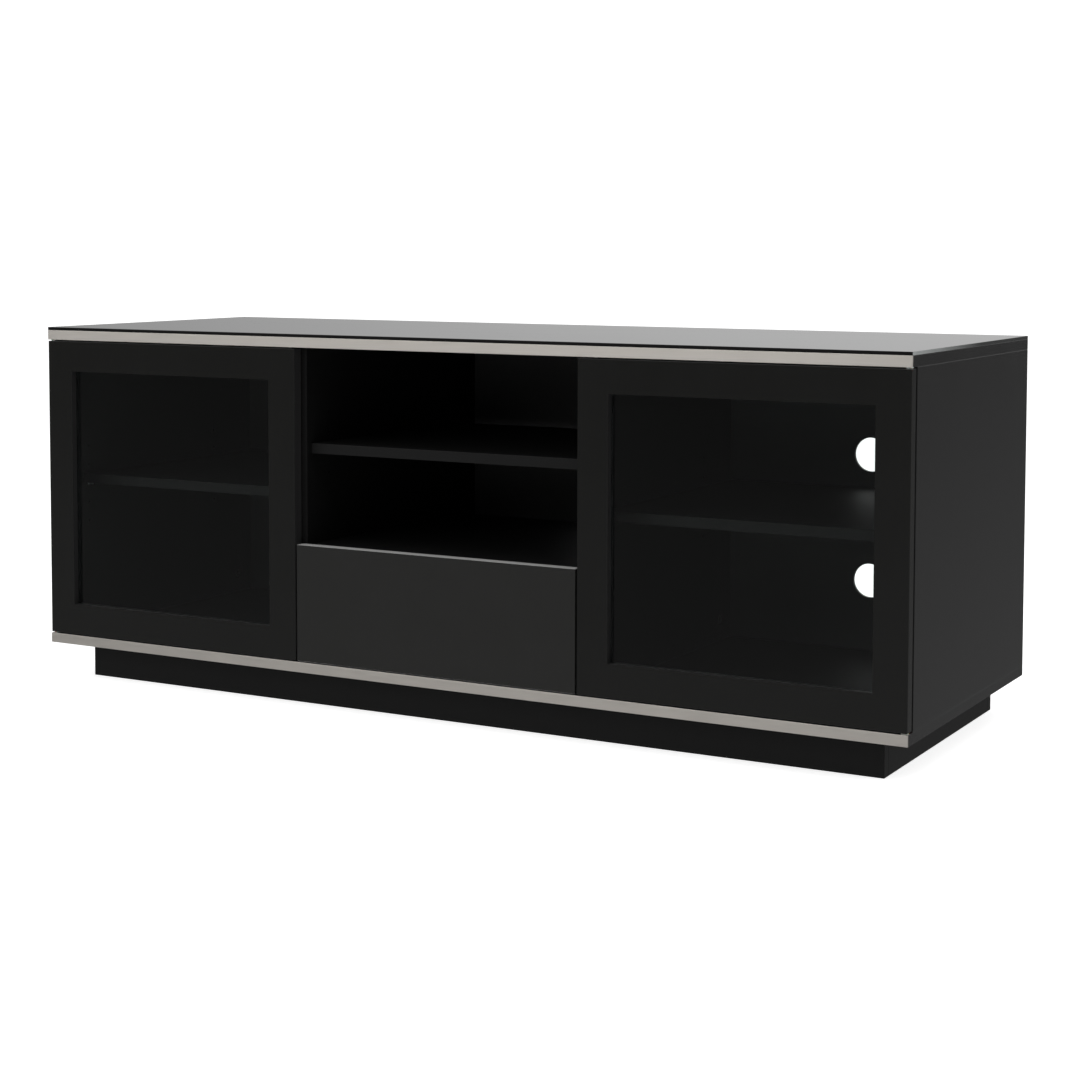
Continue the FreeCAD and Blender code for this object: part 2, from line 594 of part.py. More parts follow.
def make_backs():
    """Three back panels with round cable holes, and the screws that hold them."""
    joint = f"({divider_mid} + Sizes.back_joint / 2)"
    rebate_out = f"({side_in} + Sizes.back_rebate)"
    middle = f"({divider_mid} - Sizes.back_joint / 2)"
    side_size = (f"({rebate_out} - {joint})", "Sizes.back_thick", inside_tall)
    screw_heights = [
        f"({floor_top} + Sizes.fixing_inset)",
        f"(({floor_top} + {ceiling}) / 2)",
        f"({ceiling} - Sizes.fixing_inset)",
    ]
    quarter = "Sizes.board / 4"
    panels = {
        "left": (f"(-{rebate_out})", side_size, [f"(-{rebate_out} + {quarter})", f"(-{joint} - {quarter})"],
                 [(f"(-{cable_hole_x})", "Sizes.cable_hole_upper"),
                  (f"(-{cable_hole_x})", "Sizes.cable_hole_lower")]),
        "centre": (f"(-{middle})", (f"(2 * {middle})", "Sizes.back_thick", inside_tall),
                   [f"(-{middle} + {quarter})", f"({middle} - {quarter})"],
                   [("0", "Sizes.cable_hole_upper")]),
        "right": (joint, side_size, [f"({joint} + {quarter})", f"({rebate_out} - {quarter})"],
                  [(cable_hole_x, "Sizes.cable_hole_upper"),
                   (cable_hole_x, "Sizes.cable_hole_lower")]),
    }
    screws = []
    steps = [
        ("Sizes.screw_head", "Sizes.screw", "Sizes.screw_head_tall"),
        ("Sizes.screw", "Sizes.screw", "(Sizes.back_thick - Sizes.screw_head_tall + Sizes.screw_bite)"),
    ]
    for side, (low_x, size, columns, cables) in panels.items():
        panel = new_board(f"back_panel_{side}", (low_x, back_face, floor_top), size)
        holes = [(x, z, "Sizes.cable_hole") for x, z in cables]
        holes += [(x, z, "Sizes.screw_hole") for x in columns for z in screw_heights]
        cut(panel, "holes", "rear", "Sizes.back_thick", holes)
        for column, x in enumerate(columns):
            for number, z in enumerate(screw_heights):
                name = f"back_screw_{side}_{column}_{number}"
                screws.append(turned(name, (x, rear, z), "-Y", steps))
    return screws


# ---------------------------------------------------------------------- plinth

def make_plinth():
    """Four butt-jointed plinth boards, a brace and blocks screwed up into the floor."""
    long = f"(2 * {plinth_out})"
    inner_front = f"({plinth_front} + Sizes.board)"
    inner_rear = f"({rear} - Sizes.board)"
    between = f"({inner_rear} - {inner_front})"
    across = (long, "Sizes.board", "Sizes.plinth_height")
    along = ("Sizes.board", between, "Sizes.plinth_height")
    new_board("plinth_front", (f"(-{plinth_out})", plinth_front, "0"), across, rounded=True)
    new_board("plinth_rear", (f"(-{plinth_out})", inner_rear, "0"), across, rounded=True)
    new_board("plinth_brace", ("(-Sizes.board / 2)", inner_front, "0"), along)
    for side, sign in SIDES.items():
        near = f"({plinth_out} - Sizes.board)"
        low = (mirrored(sign, near, plinth_out), inner_front, "0")
        new_board(f"plinth_side_{side}", low, along, rounded=True)
    blocks, screws = [], []
    block_low = "(Sizes.plinth_height - Sizes.plinth_block_tall)"
    half = "(Sizes.plinth_block / 2)"
    corner_in = f"({plinth_out} - Sizes.board - Sizes.plinth_block)"
    columns = {
        "left": f"(-{corner_in} - Sizes.plinth_block)",
        "brace": "(Sizes.board / 2)",
        "right": corner_in,
    }
    rows = {"front": inner_front, "rear": f"({inner_rear} - Sizes.plinth_block)"}
    steps = [
        ("Sizes.screw_head", "Sizes.screw", "Sizes.screw_head_tall"),
        ("Sizes.screw", "Sizes.screw",
         "(Sizes.plinth_block_tall - Sizes.screw_head_tall + Sizes.plinth_screw_bite)"),
    ]
    for column, x in columns.items():
        for row, y in rows.items():
            block = doc.addObject("Part::Box", f"plinth_block_{column}_{row}")
            block.setExpression("Length", "Sizes.plinth_block")
            block.setExpression("Width", "Sizes.plinth_block")
            block.setExpression("Height", "Sizes.plinth_block_tall")
            place_at(block, (x, y, block_low))
            blocks.append(block)
            start = (f"({x} + {half})", f"({y} + {half})", block_low)
            screws.append(turned(f"plinth_screw_{column}_{row}", start, "+Z", steps))
    group("plinth_blocks", blocks)
    return screws


# ----------------------------------------------------------------------- doors

def make_door(side, sign):
    """A one-piece frame with a pane in its rear rebate, on two pivot pins."""
    door_wide = f"({door_out} - {door_in})"
    door_tall = f"({fronts_high} - {fronts_low})"
    low_x = mirrored(sign, door_in, door_out)
    frame = new_board(f"door_frame_{side}", (low_x, front, fronts_low),
                      (door_wide, "Sizes.front_thick", door_tall), rounded=True)

    def opening(margin):
        """A rectangle inside the frame, a margin in from the door's edges."""
        return (f"({low_x} + {margin})", f"({fronts_low} + {margin})",
                f"({door_wide} - 2 * {margin})", f"({door_tall} - 2 * {margin})")

    lap = "(Sizes.door_rail - Sizes.pane_lap)"
    pane = "(Sizes.door_rail - Sizes.pane_lap + Sizes.pane_play)"
    rebate_deep = "(Sizes.front_thick - Sizes.pane_recess)"
    pane_y = f"({front} + Sizes.pane_recess)"
    bead_thick = f"({rebate_deep} - Sizes.pane_thick)"
    bead_y = f"({pane_y} + Sizes.pane_thick)"
    cut(frame, "window", "front", "Sizes.front_thick", rectangles=[opening("Sizes.door_rail")])
    cut(frame, "pane_rebate", "rear", rebate_deep, rectangles=[opening(lap)])
    x, z, wide, tall = opening(pane)
    new_board(f"door_glass_{side}", (x, pane_y, z), (wide, "Sizes.pane_thick", tall))
    x, z, wide, tall = opening(lap)
    bead = new_board(f"glass_bead_{side}", (x, bead_y, z), (wide, bead_thick, tall))
    cut(bead, "window", "front", bead_thick, rectangles=[opening("Sizes.door_rail")])

    hole = (signed(sign, pivot_x), pivot_y, "Sizes.pivot_pin")
    gap_left = "(Sizes.front_gap - Sizes.bush_flange_thick - Sizes.pivot_play)"
    pin_steps = [
        ("Sizes.pivot_pin", "Sizes.pivot_pin", "Sizes.pivot_grip"),
        ("Sizes.collar_wide", "Sizes.collar_wide", gap_left),
        ("Sizes.pivot_pin", "Sizes.pivot_pin",
         "(Sizes.bush_flange_thick + Sizes.pivot_play + Sizes.bush_deep - Sizes.pivot_end_gap)"),
    ]
    pins = []
    starts = {
        "under": ("-Z", f"({fronts_low} + Sizes.pivot_grip)"),
        "upper": ("+Z", f"({fronts_high} - Sizes.pivot_grip)"),
    }
    for face, (heading, start) in starts.items():
        cut(frame, f"pivot_hole_{face}", face, "Sizes.pivot_grip", [hole])
        point = (signed(sign, pivot_x), pivot_y, start)
        pins.append(turned(f"pivot_pin_{side}_{face}", point, heading, pin_steps))
    group(f"pivot_pins_{side}", pins)

    strike_at = (signed(sign, latch_x), front_back, latch_z)
    strike = rod(f"strike_disc_{side}", strike_at, "+Y", "Sizes.strike_wide", "Sizes.strike_thick")
    keep(f"strike_plate_{side}", strike)
    buffers = []
    buffer_x = f"(({door_in} + {divider_out}) / 2)"
    for number, margin in enumerate(("Sizes.door_rail", f"({door_tall} - Sizes.door_rail)")):
        point = (signed(sign, buffer_x), front_back, f"({fronts_low} + {margin})")
        buffers.append(rod(f"buffer_{side}_{number}", point, "+Y", "Sizes.buffer_wide", "Sizes.buffer_thick"))
    group(f"door_buffers_{side}", buffers)


def make_pivot_bushes():
    """Flanged bushes in the top and bottom boards, one pair for each door."""
    bushes = []
    bore = "(Sizes.pivot_pin + 2 * Sizes.pivot_play)"
    steps = [
        ("Sizes.bush_flange", "Sizes.bush_flange", "Sizes.bush_flange_thick"),
        ("Sizes.bush_wide", "Sizes.bush_wide", "Sizes.bush_deep"),
    ]
    ends = {
        "foot": ("-Z", f"({floor_top} + Sizes.bush_flange_thick)"),
        "head": ("+Z", f"({ceiling} - Sizes.bush_flange_thick)"),
    }
    for side, sign in SIDES.items():
        for end, (heading, start) in ends.items():
            point = (signed(sign, pivot_x), pivot_y, start)
            outer = turned(f"bush_outer_{side}_{end}", point, heading, steps)
            through = "(Sizes.bush_flange_thick + Sizes.bush_deep)"
            inner = rod(f"bush_bore_{side}_{end}", point, heading, bore, through)
            bushes.append(less(f"pivot_bush_{side}_{end}", outer, inner))
    group("pivot_bushes", bushes)


# --------------------------------------------------------------------- latches

def make_latch(name, x, pushed_face, z, long):
    """A push latch: a blind-bored housing and the plunger that slides in it."""
    half = "(Sizes.latch_wide / 2)"
    low_y = f"({pushed_face} + Sizes.latch_play)"
    low = (f"({x} - {half})", low_y, f"({z} - {half})")
    size = ("Sizes.latch_wide", long, "Sizes.latch_wide")
    housing = new_board(f"latch_housing_{name}", low, size, rounded=True)
    bore = "(Sizes.plunger + 2 * Sizes.plunger_play)"
    deep = "(Sizes.plunger_long - Sizes.latch_play + Sizes.plunger_end_gap)"
    cut(housing, "plunger_bore", "front", deep, [(x, z, bore)])
    plunger = rod(f"plunger_{name}", (x, pushed_face, z), "+Y", "Sizes.plunger", "Sizes.plunger_long")
    keep(f"latch_plunger_{name}", plunger)


# ---------------------------------------------------------------------- drawer

def make_drawer():
    """The show front and the grooved box behind it."""
    front_size = (f"(2 * {drawer_half})", "Sizes.front_thick", f"({drawer_top} - {fronts_low})")
    new_board("drawer_front", (f"(-{drawer_half})", front, fronts_low), front_size, rounded=True)
    groove_out = f"({box_in} + Sizes.drawer_groove)"
    inner_front_rear = f"({front_back} + Sizes.drawer_side_thick)"
    inner_back_front = f"({box_rear} - Sizes.drawer_side_thick)"
    base_front = f"({inner_front_rear} - Sizes.drawer_groove)"
    base_rear = f"({inner_back_front} + Sizes.drawer_groove)"
    base_deep = f"({base_rear} - {base_front})"
    for side, sign in SIDES.items():
        low = (mirrored(sign, box_in, box_out), front_back, box_low)
        size = ("Sizes.drawer_side_thick", box_deep, box_tall)
        board = new_board(f"drawer_side_{side}", low, size, rounded=True)
        inner_face = "left" if sign > 0 else "right"
        groove = (base_front, base_low, base_deep, "Sizes.drawer_base_thick")
        cut(board, "base_groove", inner_face, "Sizes.drawer_groove", rectangles=[groove])
        holes = [(y, z, "Sizes.screw_hole") for y in box_screw_rows() for z in box_screw_heights()]
        cut(board, "screw_holes", inner_face, "Sizes.drawer_side_thick", holes)
    between = (f"(2 * {box_in})", "Sizes.drawer_side_thick", box_tall)
    groove = (f"(-{box_in})", base_low, f"(2 * {box_in})", "Sizes.drawer_base_thick")
    inner = new_board("drawer_inner_front", (f"(-{box_in})", front_back, box_low), between)
    cut(inner, "base_groove", "rear", "Sizes.drawer_groove", rectangles=[groove])
    holes = [(signed(sign, f"({box_in} / 2)"), z, "Sizes.screw_hole")
             for sign in SIDES.values() for z in box_screw_heights()]
    cut(inner, "screw_holes", "rear", "Sizes.drawer_side_thick", holes)
    back = new_board("drawer_back", (f"(-{box_in})", inner_back_front, box_low), between)
    cut(back, "base_groove", "front", "Sizes.drawer_groove", rectangles=[groove])
    base_size = (f"(2 * {groove_out})", base_deep, "Sizes.drawer_base_thick")
    new_board("drawer_base", (f"(-{groove_out})", base_front, base_low), base_size)
    make_drawer_screws(inner_front_rear)


def box_screw_rows():
    """The middles of the drawer box's two ends, front and rear."""
    return (f"({front_back} + Sizes.drawer_side_thick / 2)", f"({box_rear} - Sizes.drawer_side_thick / 2)")


def box_screw_heights():
    """Two screws up each end of the drawer box, both above its base."""
    quarter = f"({box_tall} / 4)"
    return (f"({base_low} + {quarter})", f"({box_low} + 3 * {quarter})")


def make_drawer_screws(inner_front_rear):
    """Screws through the sides into both ends, and from inside into the front."""
    screws = []
    side_steps = [
        ("Sizes.screw_head", "Sizes.screw", "Sizes.screw_head_tall"),
        ("Sizes.screw", "Sizes.screw",
         "(Sizes.drawer_side_thick - Sizes.screw_head_tall + Sizes.screw_bite)"),
    ]
    for side, sign in SIDES.items():
        inward = "-X" if sign > 0 else "+X"
        for number, z in enumerate(box_screw_heights()):
            for end, y in zip(("front", "rear"), box_screw_rows()):
                point = (signed(sign, box_out), y, z)
                screws.append(turned(f"box_screw_{side}_{end}_{number}", point, inward, side_steps))
            x = signed(sign, f"({box_in} / 2)")
            point = (x, inner_front_rear, z)
            screws.append(turned(f"front_screw_{side}_{number}", point, "-Y", side_steps))
    group("drawer_screws", screws)


# --------------------------------------------------------------------- runners

def channel(label, low_x, low_z, wide, tall, open_right):
    """A sheet-metal channel that runs front to back, open to one side."""
    profile = new_board(label, (low_x, carcass_front, low_z), (wide, runner_deep, tall))
    hollow_low = f"({low_x} + Sizes.runner_sheet)" if open_right else low_x
    hollow = (hollow_low, f"({low_z} + Sizes.runner_sheet)",
              f"({wide} - Sizes.runner_sheet)", f"({tall} - 2 * Sizes.runner_sheet)")
    cut(profile, "hollow", "front", runner_deep, rectangles=[hollow])


def make_runners():
    """Three nested channels at each side of the drawer."""
    inset = "(Sizes.runner_sheet + Sizes.runner_ball)"
    for side, sign in SIDES.items():
        wide = "(Sizes.runner_thick - Sizes.runner_lip)"
        low_x = mirrored(sign, f"({bay_side} - {wide})", bay_side)
        channel(f"runner_outer_{side}", low_x, runner_low, wide, "Sizes.runner_tall", sign < 0)
        web = f"({bay_side} - Sizes.runner_step)"
        lips = f"({box_out} + Sizes.runner_middle_lip)"
        middle_low = f"({runner_low} + {inset})"
        middle_tall = f"(Sizes.runner_tall - 2 * {inset})"
        low_x = mirrored(sign, lips, web)
        channel(f"runner_middle_{side}", low_x, middle_low, f"({web} - {lips})", middle_tall, sign < 0)
        inner_low = f"({middle_low} + {inset})"
        inner_tall = f"({middle_tall} - 2 * {inset})"
        far = f"({box_out} + Sizes.runner_inner_deep)"
        low_x = mirrored(sign, box_out, far)
        channel(f"runner_inner_{side}", low_x, inner_low, "Sizes.runner_inner_deep", inner_tall, sign > 0)


# ----------------------------------------------------------------------- build

make_top_and_floor()
make_uprights()
make_joinery()
make_shelves()
group("carcass_screws", make_backs() + make_plinth())
for door_side, door_sign in SIDES.items():
    make_door(door_side, door_sign)
    make_latch(door_side, signed(door_sign, latch_x), strike_face, latch_z, "Sizes.latch_long")
make_pivot_bushes()
make_drawer()
# the drawer's latch reaches back to the panel that carries it
make_latch("drawer", "0", box_rear, box_mid, f"({back_face} - {box_rear} - Sizes.latch_play)")
make_runners()
doc.recompute()

for thing in doc.Objects:
    if "Invalid" in thing.State or "Error" in thing.State:
        raise RuntimeError(f"{thing.Label} could not be built: {thing.State}")
for label, thing in nodes.items():
    if thing.Shape.isNull() or not thing.Shape.isValid():
        raise RuntimeError(f"{label} has no valid shape")

os.makedirs("parts", exist_ok=True)
for label, thing in nodes.items():
    thing.Shape.exportStep(f"parts/{label}.step")
print(f"{len(nodes)} nodes, {sum(len(thing.Shape.Solids) for thing in nodes.values())} solids")
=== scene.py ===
import json
import math

import bmesh
import bpy
from bpy.props import FloatProperty, FloatVectorProperty, IntProperty, PointerProperty
from mathutils import Matrix, Vector


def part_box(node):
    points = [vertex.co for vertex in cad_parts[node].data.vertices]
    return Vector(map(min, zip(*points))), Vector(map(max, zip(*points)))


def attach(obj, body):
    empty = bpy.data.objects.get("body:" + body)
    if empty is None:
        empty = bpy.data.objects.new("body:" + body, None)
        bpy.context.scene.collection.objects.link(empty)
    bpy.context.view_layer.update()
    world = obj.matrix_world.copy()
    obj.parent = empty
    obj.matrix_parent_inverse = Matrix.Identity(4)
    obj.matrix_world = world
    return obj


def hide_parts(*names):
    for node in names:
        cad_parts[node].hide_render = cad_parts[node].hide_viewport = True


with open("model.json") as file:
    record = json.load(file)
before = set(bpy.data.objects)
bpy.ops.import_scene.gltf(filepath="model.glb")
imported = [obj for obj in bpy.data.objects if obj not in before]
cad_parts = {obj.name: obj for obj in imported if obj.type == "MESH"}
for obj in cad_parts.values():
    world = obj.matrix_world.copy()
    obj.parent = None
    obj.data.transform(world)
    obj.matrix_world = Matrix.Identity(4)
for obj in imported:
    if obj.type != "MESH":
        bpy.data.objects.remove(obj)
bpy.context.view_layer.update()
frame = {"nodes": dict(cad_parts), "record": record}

bl_info = {
    "name": "Media Cabinet",
    "version": (1, 0, 0),
    "blender": (4, 5, 0),
    "location": "View3D > Sidebar > Cabinet",
    "description": "Finishes, fittings and studio for a low media cabinet with glass doors",
    "category": "Object",
}

# The cabinet stands on Z = 0 and its doors face -Y. All lengths are in metres.
MM = 0.001
UPRIGHTS = ("divider_left", "divider_right", "side_panel_left", "side_panel_right")
# turns a fitting's own +Z to the back of the cabinet
BACKWARDS = Matrix.Rotation(math.radians(-90), 4, "X")


# ------------------------------------------------------------------- settings

def linear(hex_code):
    """Linear red, green and blue from an sRGB hex code."""
    shares = [int(hex_code[place:place + 2], 16) / 255 for place in (1, 3, 5)]
    return tuple(s / 12.92 if s <= 0.04045 else ((s + 0.055) / 1.055) ** 2.4 for s in shares)


def colour(title, about, hex_code):
    """A colour that a user may change."""
    return FloatVectorProperty(
        name=title, description=about, subtype="COLOR", size=3, min=0.0, max=1.0,
        default=linear(hex_code),
    )


def amount(title, about, value, **settings):
    """A number that a user may change."""
    return FloatProperty(name=title, description=about, default=value, **settings)


def length(title, about, millimetres):
    """A length that a user may change."""
    return amount(title, about, millimetres * MM, unit="LENGTH", min=0.0, precision=5)


class CabinetFinishes(bpy.types.PropertyGroup):
    """Colours of the boards, glass, metal and plastic."""

    glass_paint: colour("Glass paint", "Black paint behind the top glass", "#0B0B0B")
    frame_foil: colour("Frame foil", "High-gloss foil on the door frames", "#121211")
    drawer_foil: colour("Drawer foil", "High-gloss foil on the drawer front", "#20201F")
    # a painted highlight along the drawer front's top face, also put on its bottom face
    edge_highlight: colour("Drawer edging", "Edging tape on the drawer front's long edges", "#B9B9B8")
    # a painted highlight on the edge faces round the door windows
    frame_edge_highlight: colour("Frame edging", "Edging tape round the windows of the doors", "#242424")
    # a painted highlight on the ends of the top glass, palest at the front corner
    glass_end_highlight: colour("Glass edge", "Ground edge at the ends of the top glass", "#8C8F8E")
    carcass_foil: colour("Carcass foil", "High-gloss foil on top, floor and sides", "#181818")
    inside_foil: colour("Inside foil", "Satin foil on shelves and dividers", "#0F0F0F")
    plinth_foil: colour("Plinth foil", "Satin foil on the plinth", "#111111")
    back_lacquer: colour("Back lacquer", "Lacquer on the back panels", "#383838")
    box_foil: colour("Drawer box foil", "Matt foil on the drawer box", "#2B2B2D")
    trim_metal: colour("Trim metal", "Anodised aluminium of the trims", "#DAD5CE")
    pane_tint: colour("Pane tint", "What one face of the door glass lets through", "#F4F7F6")
    beech: colour("Beech", "Bare beech of blocks and dowels", "#C9A276")
    moulding: colour("Mouldings", "Black plastic of beads and latches", "#222223")
    nylon: colour("Nylon", "Natural nylon of bushes and plungers", "#D8D5CC")
    plated_steel: colour("Plated steel", "Zinc-plated steel of pins and runners", "#C4C6C8")
    cast_zinc: colour("Cast zinc", "Die-cast zinc of the cam locks", "#A3A4A6")
    silicone: colour("Silicone", "Clear silicone of pads and buffers", "#D5D6D3")


class CabinetFittings(bpy.types.PropertyGroup):
    """Sizes of the fittings' own details."""

    recess_wide: length("Recess width", "Width of a screw's cross recess", 1.0)
    recess_reach: length("Recess reach", "Middle of a screw's head to the end of its recess", 2.0)
    recess_deep: length("Recess depth", "Depth of a screw's cross recess", 1.2)
    thread_pitch: length("Thread pitch", "Spacing of a wood screw's thread", 1.6)
    cam_recess_wide: length("Cam recess width", "Width of a cam lock's cross slot", 2.0)
    cam_recess_reach: length("Cam recess reach", "Middle of a cam lock to the end of its slot", 4.4)
    cam_recess_deep: length("Cam recess depth", "Depth of a cam lock's cross slot", 3.0)
    collar_out: length("Peg collar", "How far a shelf peg's collar stands out from its pin", 1.2)
    collar_thick: length("Collar thickness", "Thickness of a shelf peg's collar", 0.8)
    ball_pitch: length("Ball pitch", "Spacing of the balls in a runner", 14.0)
    cage_thick: length("Cage thickness", "Thickness of the strip that spaces the balls", 0.6)
    latch_wall: length("Latch collar", "How far a latch's collar stands out from its body", 1.2)
    rib_pitch: length("Rib pitch", "Spacing of the ribs on a latch", 5.0)
    spin_seed: IntProperty(
        name="Spin seed", description="Seed of how far each screw is turned", default=7, min=0,
    )


class CabinetStudio(bpy.types.PropertyGroup):
    """Camera, floor and light."""

    camera_place: FloatVectorProperty(
        name="Camera place", description="Where the camera stands", subtype="XYZ", unit="LENGTH",
        size=3, default=(1.6625, -2.9424, 0.7383),
    )
    camera_turn: FloatVectorProperty(
        name="Camera turn", description="Tilt, roll and heading of the camera", subtype="EULER",
        unit="ROTATION", size=3, default=(math.radians(86.379), math.radians(0.101), math.radians(29.137)),
    )
    lens: amount("Lens", "Focal length in millimetres", 70.28, min=10.0)
    rise: amount("Lens rise", "Vertical shift of the lens", -0.1553)
    slide: amount("Lens slide", "Sideways shift of the lens", 0.0076)
    floor_wide: amount("Floor width", "Width of the floor", 40.0, unit="LENGTH", min=2.0)
    floor_glow: amount("Floor glow", "Light that the pale floor gives back", 0.75)
    key_power: amount("Key power", "Power of the large lamp overhead", 25.0, unit="POWER")
    side_power: amount("Side power", "Power of the lamp on the right", 20.0, unit="POWER")
    front_power: amount("Front power", "Power of the lamp high in front", 36.0, unit="POWER")
    room_dark: amount("Room, dark part", "Brightness of the room at its darkest", 0.08)
    room_glow: amount("Room glow", "Brightness added behind the cabinet", 0.50)
    room_ends: amount("Room, up and down", "Brightness added straight up and down", 0.68)


# -------------------------------------------------------------- shader helpers

def node(tree, kind, values=None, links=None, **settings):
    """Add one node with its settings, its sockets' values and the links into it."""
    made = tree.nodes.new(kind)
    for name, setting in settings.items():
        setattr(made, name, setting)
    for name, value in (values or {}).items():
        made.inputs[name].default_value = value
    for name, source in (links or {}).items():
        tree.links.new(source, made.inputs[name])
    return made


def new_material(name, **constants):
    """A material with one Principled shader, whose constants sit on its own sockets."""
    material = bpy.data.materials.new(name)
    material.use_nodes = True
    shader = material.node_tree.nodes["Principled BSDF"]
    for socket, value in constants.items():
        shader.inputs[socket.replace("_", " ")].default_value = value
    return material, material.node_tree, shader


def lumps(tree, size_mm, stretch=(1, 1, 1), detail=2.0, seed=0.0):
    """Noise with lumps size_mm across, longer along each axis by its stretch."""
    place = node(tree, "ShaderNodeTexCoord")
    turn = node(
        tree, "ShaderNodeMapping", vector_type="POINT",
        values={"Location": (seed, seed, seed), "Scale": [1 / s for s in stretch]},
        links={"Vector": place.outputs["Object"]},
    )
    return node(
        tree, "ShaderNodeTexNoise",
        values={"Scale": 1 / (size_mm * MM), "Detail": detail, "Roughness": 0.55},
        links={"Vector": turn.outputs["Vector"]},
    ).outputs["Fac"]


def spread(tree, source, low, high, start=0.3, end=0.7):
    """The source's range, start to end, mapped to low to high. Noise mostly keeps to 0.3 to 0.7."""
    return node(
        tree, "ShaderNodeMapRange",
        values={"From Min": start, "From Max": end, "To Min": low, "To Max": high},
        links={"Value": source},
    ).outputs["Result"]


def between(tree, source, first, second):
    """A colour between two others, each of them a colour or another node's output."""
    mixed = node(tree, "ShaderNodeMix", data_type="RGBA", links={"Factor": source})
    # the colour sockets of a Mix node share their names with its number sockets
    sockets = [socket for socket in mixed.inputs if socket.type == "RGBA"]
    for socket, given in zip(sockets, (first, second)):
        if isinstance(given, bpy.types.NodeSocket):
            tree.links.new(given, socket)
        else:
            socket.default_value = (*given, 1.0)
    return next(socket for socket in mixed.outputs if socket.type == "RGBA")


def shade(rgb, factor):
    """A colour made lighter or darker by a factor."""
    return tuple(min(1.0, channel * factor) for channel in rgb)


def vary(tree, shader, source, rgb, shades, roughness=None):
    """Let the source vary the colour between two shades, and the roughness between two values."""
    dark, light = [shade(rgb, factor) for factor in shades]
    tree.links.new(between(tree, source, dark, light), shader.inputs["Base Color"])
    if roughness:
        tree.links.new(spread(tree, source, *roughness), shader.inputs["Roughness"])


def relief(tree, shader, source, height_mm):
    """A bump whose full height is height_mm."""
    bump = node(tree, "ShaderNodeBump", values={"Distance": height_mm * MM}, links={"Height": source})
    tree.links.new(bump.outputs["Normal"], shader.inputs["Normal"])


def calculate(tree, operation, *terms):
    """The result of a Math node. Each term is a number or another node's output."""
    outputs = {place: term for place, term in enumerate(terms) if isinstance(term, bpy.types.NodeSocket)}
    numbers = {place: term for place, term in enumerate(terms) if place not in outputs}
    return node(tree, "ShaderNodeMath", numbers, outputs, operation=operation).outputs["Value"]


def along(tree, output, axis):
    """The object coordinate or the face's direction along an axis, which turn with the body."""
    place = node(tree, "ShaderNodeTexCoord")
    return node(tree, "ShaderNodeSeparateXYZ", links={"Vector": place.outputs[output]}).outputs[axis]


def size_along(tree, output, axis):
    """The same without its sign."""
    return calculate(tree, "ABSOLUTE", along(tree, output, axis))


def change_colour(tree, shader, where, rgb):
    """Give the shader another colour, given or from an output, where a mask is one."""
    usual = shader.inputs["Base Color"].links[0].from_socket
    tree.links.new(between(tree, where, usual, rgb), shader.inputs["Base Color"])


def change_roughness(tree, shader, where, roughness):
    """Give the shader another roughness where a mask is one."""
    usual = shader.inputs["Roughness"].links[0].from_socket
    mixed = node(tree, "ShaderNodeMix", values={"B": roughness}, links={"Factor": where, "A": usual})
    tree.links.new(mixed.outputs["Result"], shader.inputs["Roughness"])


# ------------------------------------------------------------------- materials

def back_painted_glass(paint, edge):
    """Toughened float glass with black paint behind it: a mirror-flat, hard, dark gloss, with a painted
    highlight on its ends.
    """
    material, tree, shader = new_material("Back-painted glass", IOR=1.52)
    # a wiped surface is a little duller in places, some hand widths across
    wiped = lumps(tree, 90, stretch=(3, 1, 1), detail=4.0)
    vary(tree, shader, wiped, paint, (0.9, 1.15), (0.03, 0.06))
    # the ground edges hardly shine
    edges = calculate(tree, "LESS_THAN", size_along(tree, "Normal", "Z"), 0.5)
    shine = node(tree, "ShaderNodeMix", values={"A": 0.5, "B": 0.15}, links={"Factor": edges})
    tree.links.new(shine.outputs["Result"], shader.inputs["Specular IOR Level"])
    change_roughness(tree, shader, edges, 0.35)
    # painted highlight: the pane's ends are painted paler at the front corner, and the highlight fades
    # over 0.3 m from it
    ends = calculate(tree, "GREATER_THAN", size_along(tree, "Normal", "X"), 0.7)
    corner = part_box("glass_top")[0].y
    highlight_fade = spread(tree, along(tree, "Object", "Y"), 1.0, 0.08, corner, corner + 0.3)
    change_colour(tree, shader, ends, between(tree, highlight_fade, paint, edge))
    return material


def gloss_foil(name, rgb):
    """High-gloss foil pressed on fibreboard: deep gloss with a faint orange peel."""
    material, tree, shader = new_material(name, IOR=1.46)
    vary(tree, shader, lumps(tree, 60, detail=3.0), rgb, (0.93, 1.07), (0.10, 0.16))
    # orange peel has lumps of about 3 mm that are some microns high
    relief(tree, shader, lumps(tree, 3.0, detail=1.0), 0.004)
    return material


def satin_inside(material):
    """Turn a gloss foil to satin on the faces inside the carcass."""
    tree, shader = material.node_tree, material.node_tree.nodes["Principled BSDF"]
    floor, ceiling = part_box("bottom_panel")[1].z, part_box("top_panel")[0].z
    # the limits stand a little past the faces, so that the faces themselves count as inside
    past = 0.5 * MM
    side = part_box("side_panel_right")[0].x + past
    raised = calculate(tree, "SUBTRACT", along(tree, "Object", "Z"), (floor + ceiling) / 2)
    inside = calculate(
        tree, "MULTIPLY",
        calculate(tree, "LESS_THAN", size_along(tree, "Object", "X"), side),
        calculate(tree, "LESS_THAN", calculate(tree, "ABSOLUTE", raised), (ceiling - floor) / 2 + past),
    )
    change_roughness(tree, shader, inside, 0.5)


def edge_highlight(material, where, rgb, roughness):
    """A painted highlight: a paler colour and another roughness on the faces of a board where a mask is
    one.
    """
    tree, shader = material.node_tree, material.node_tree.nodes["Principled BSDF"]
    change_colour(tree, shader, where, rgb)
    change_roughness(tree, shader, where, roughness)


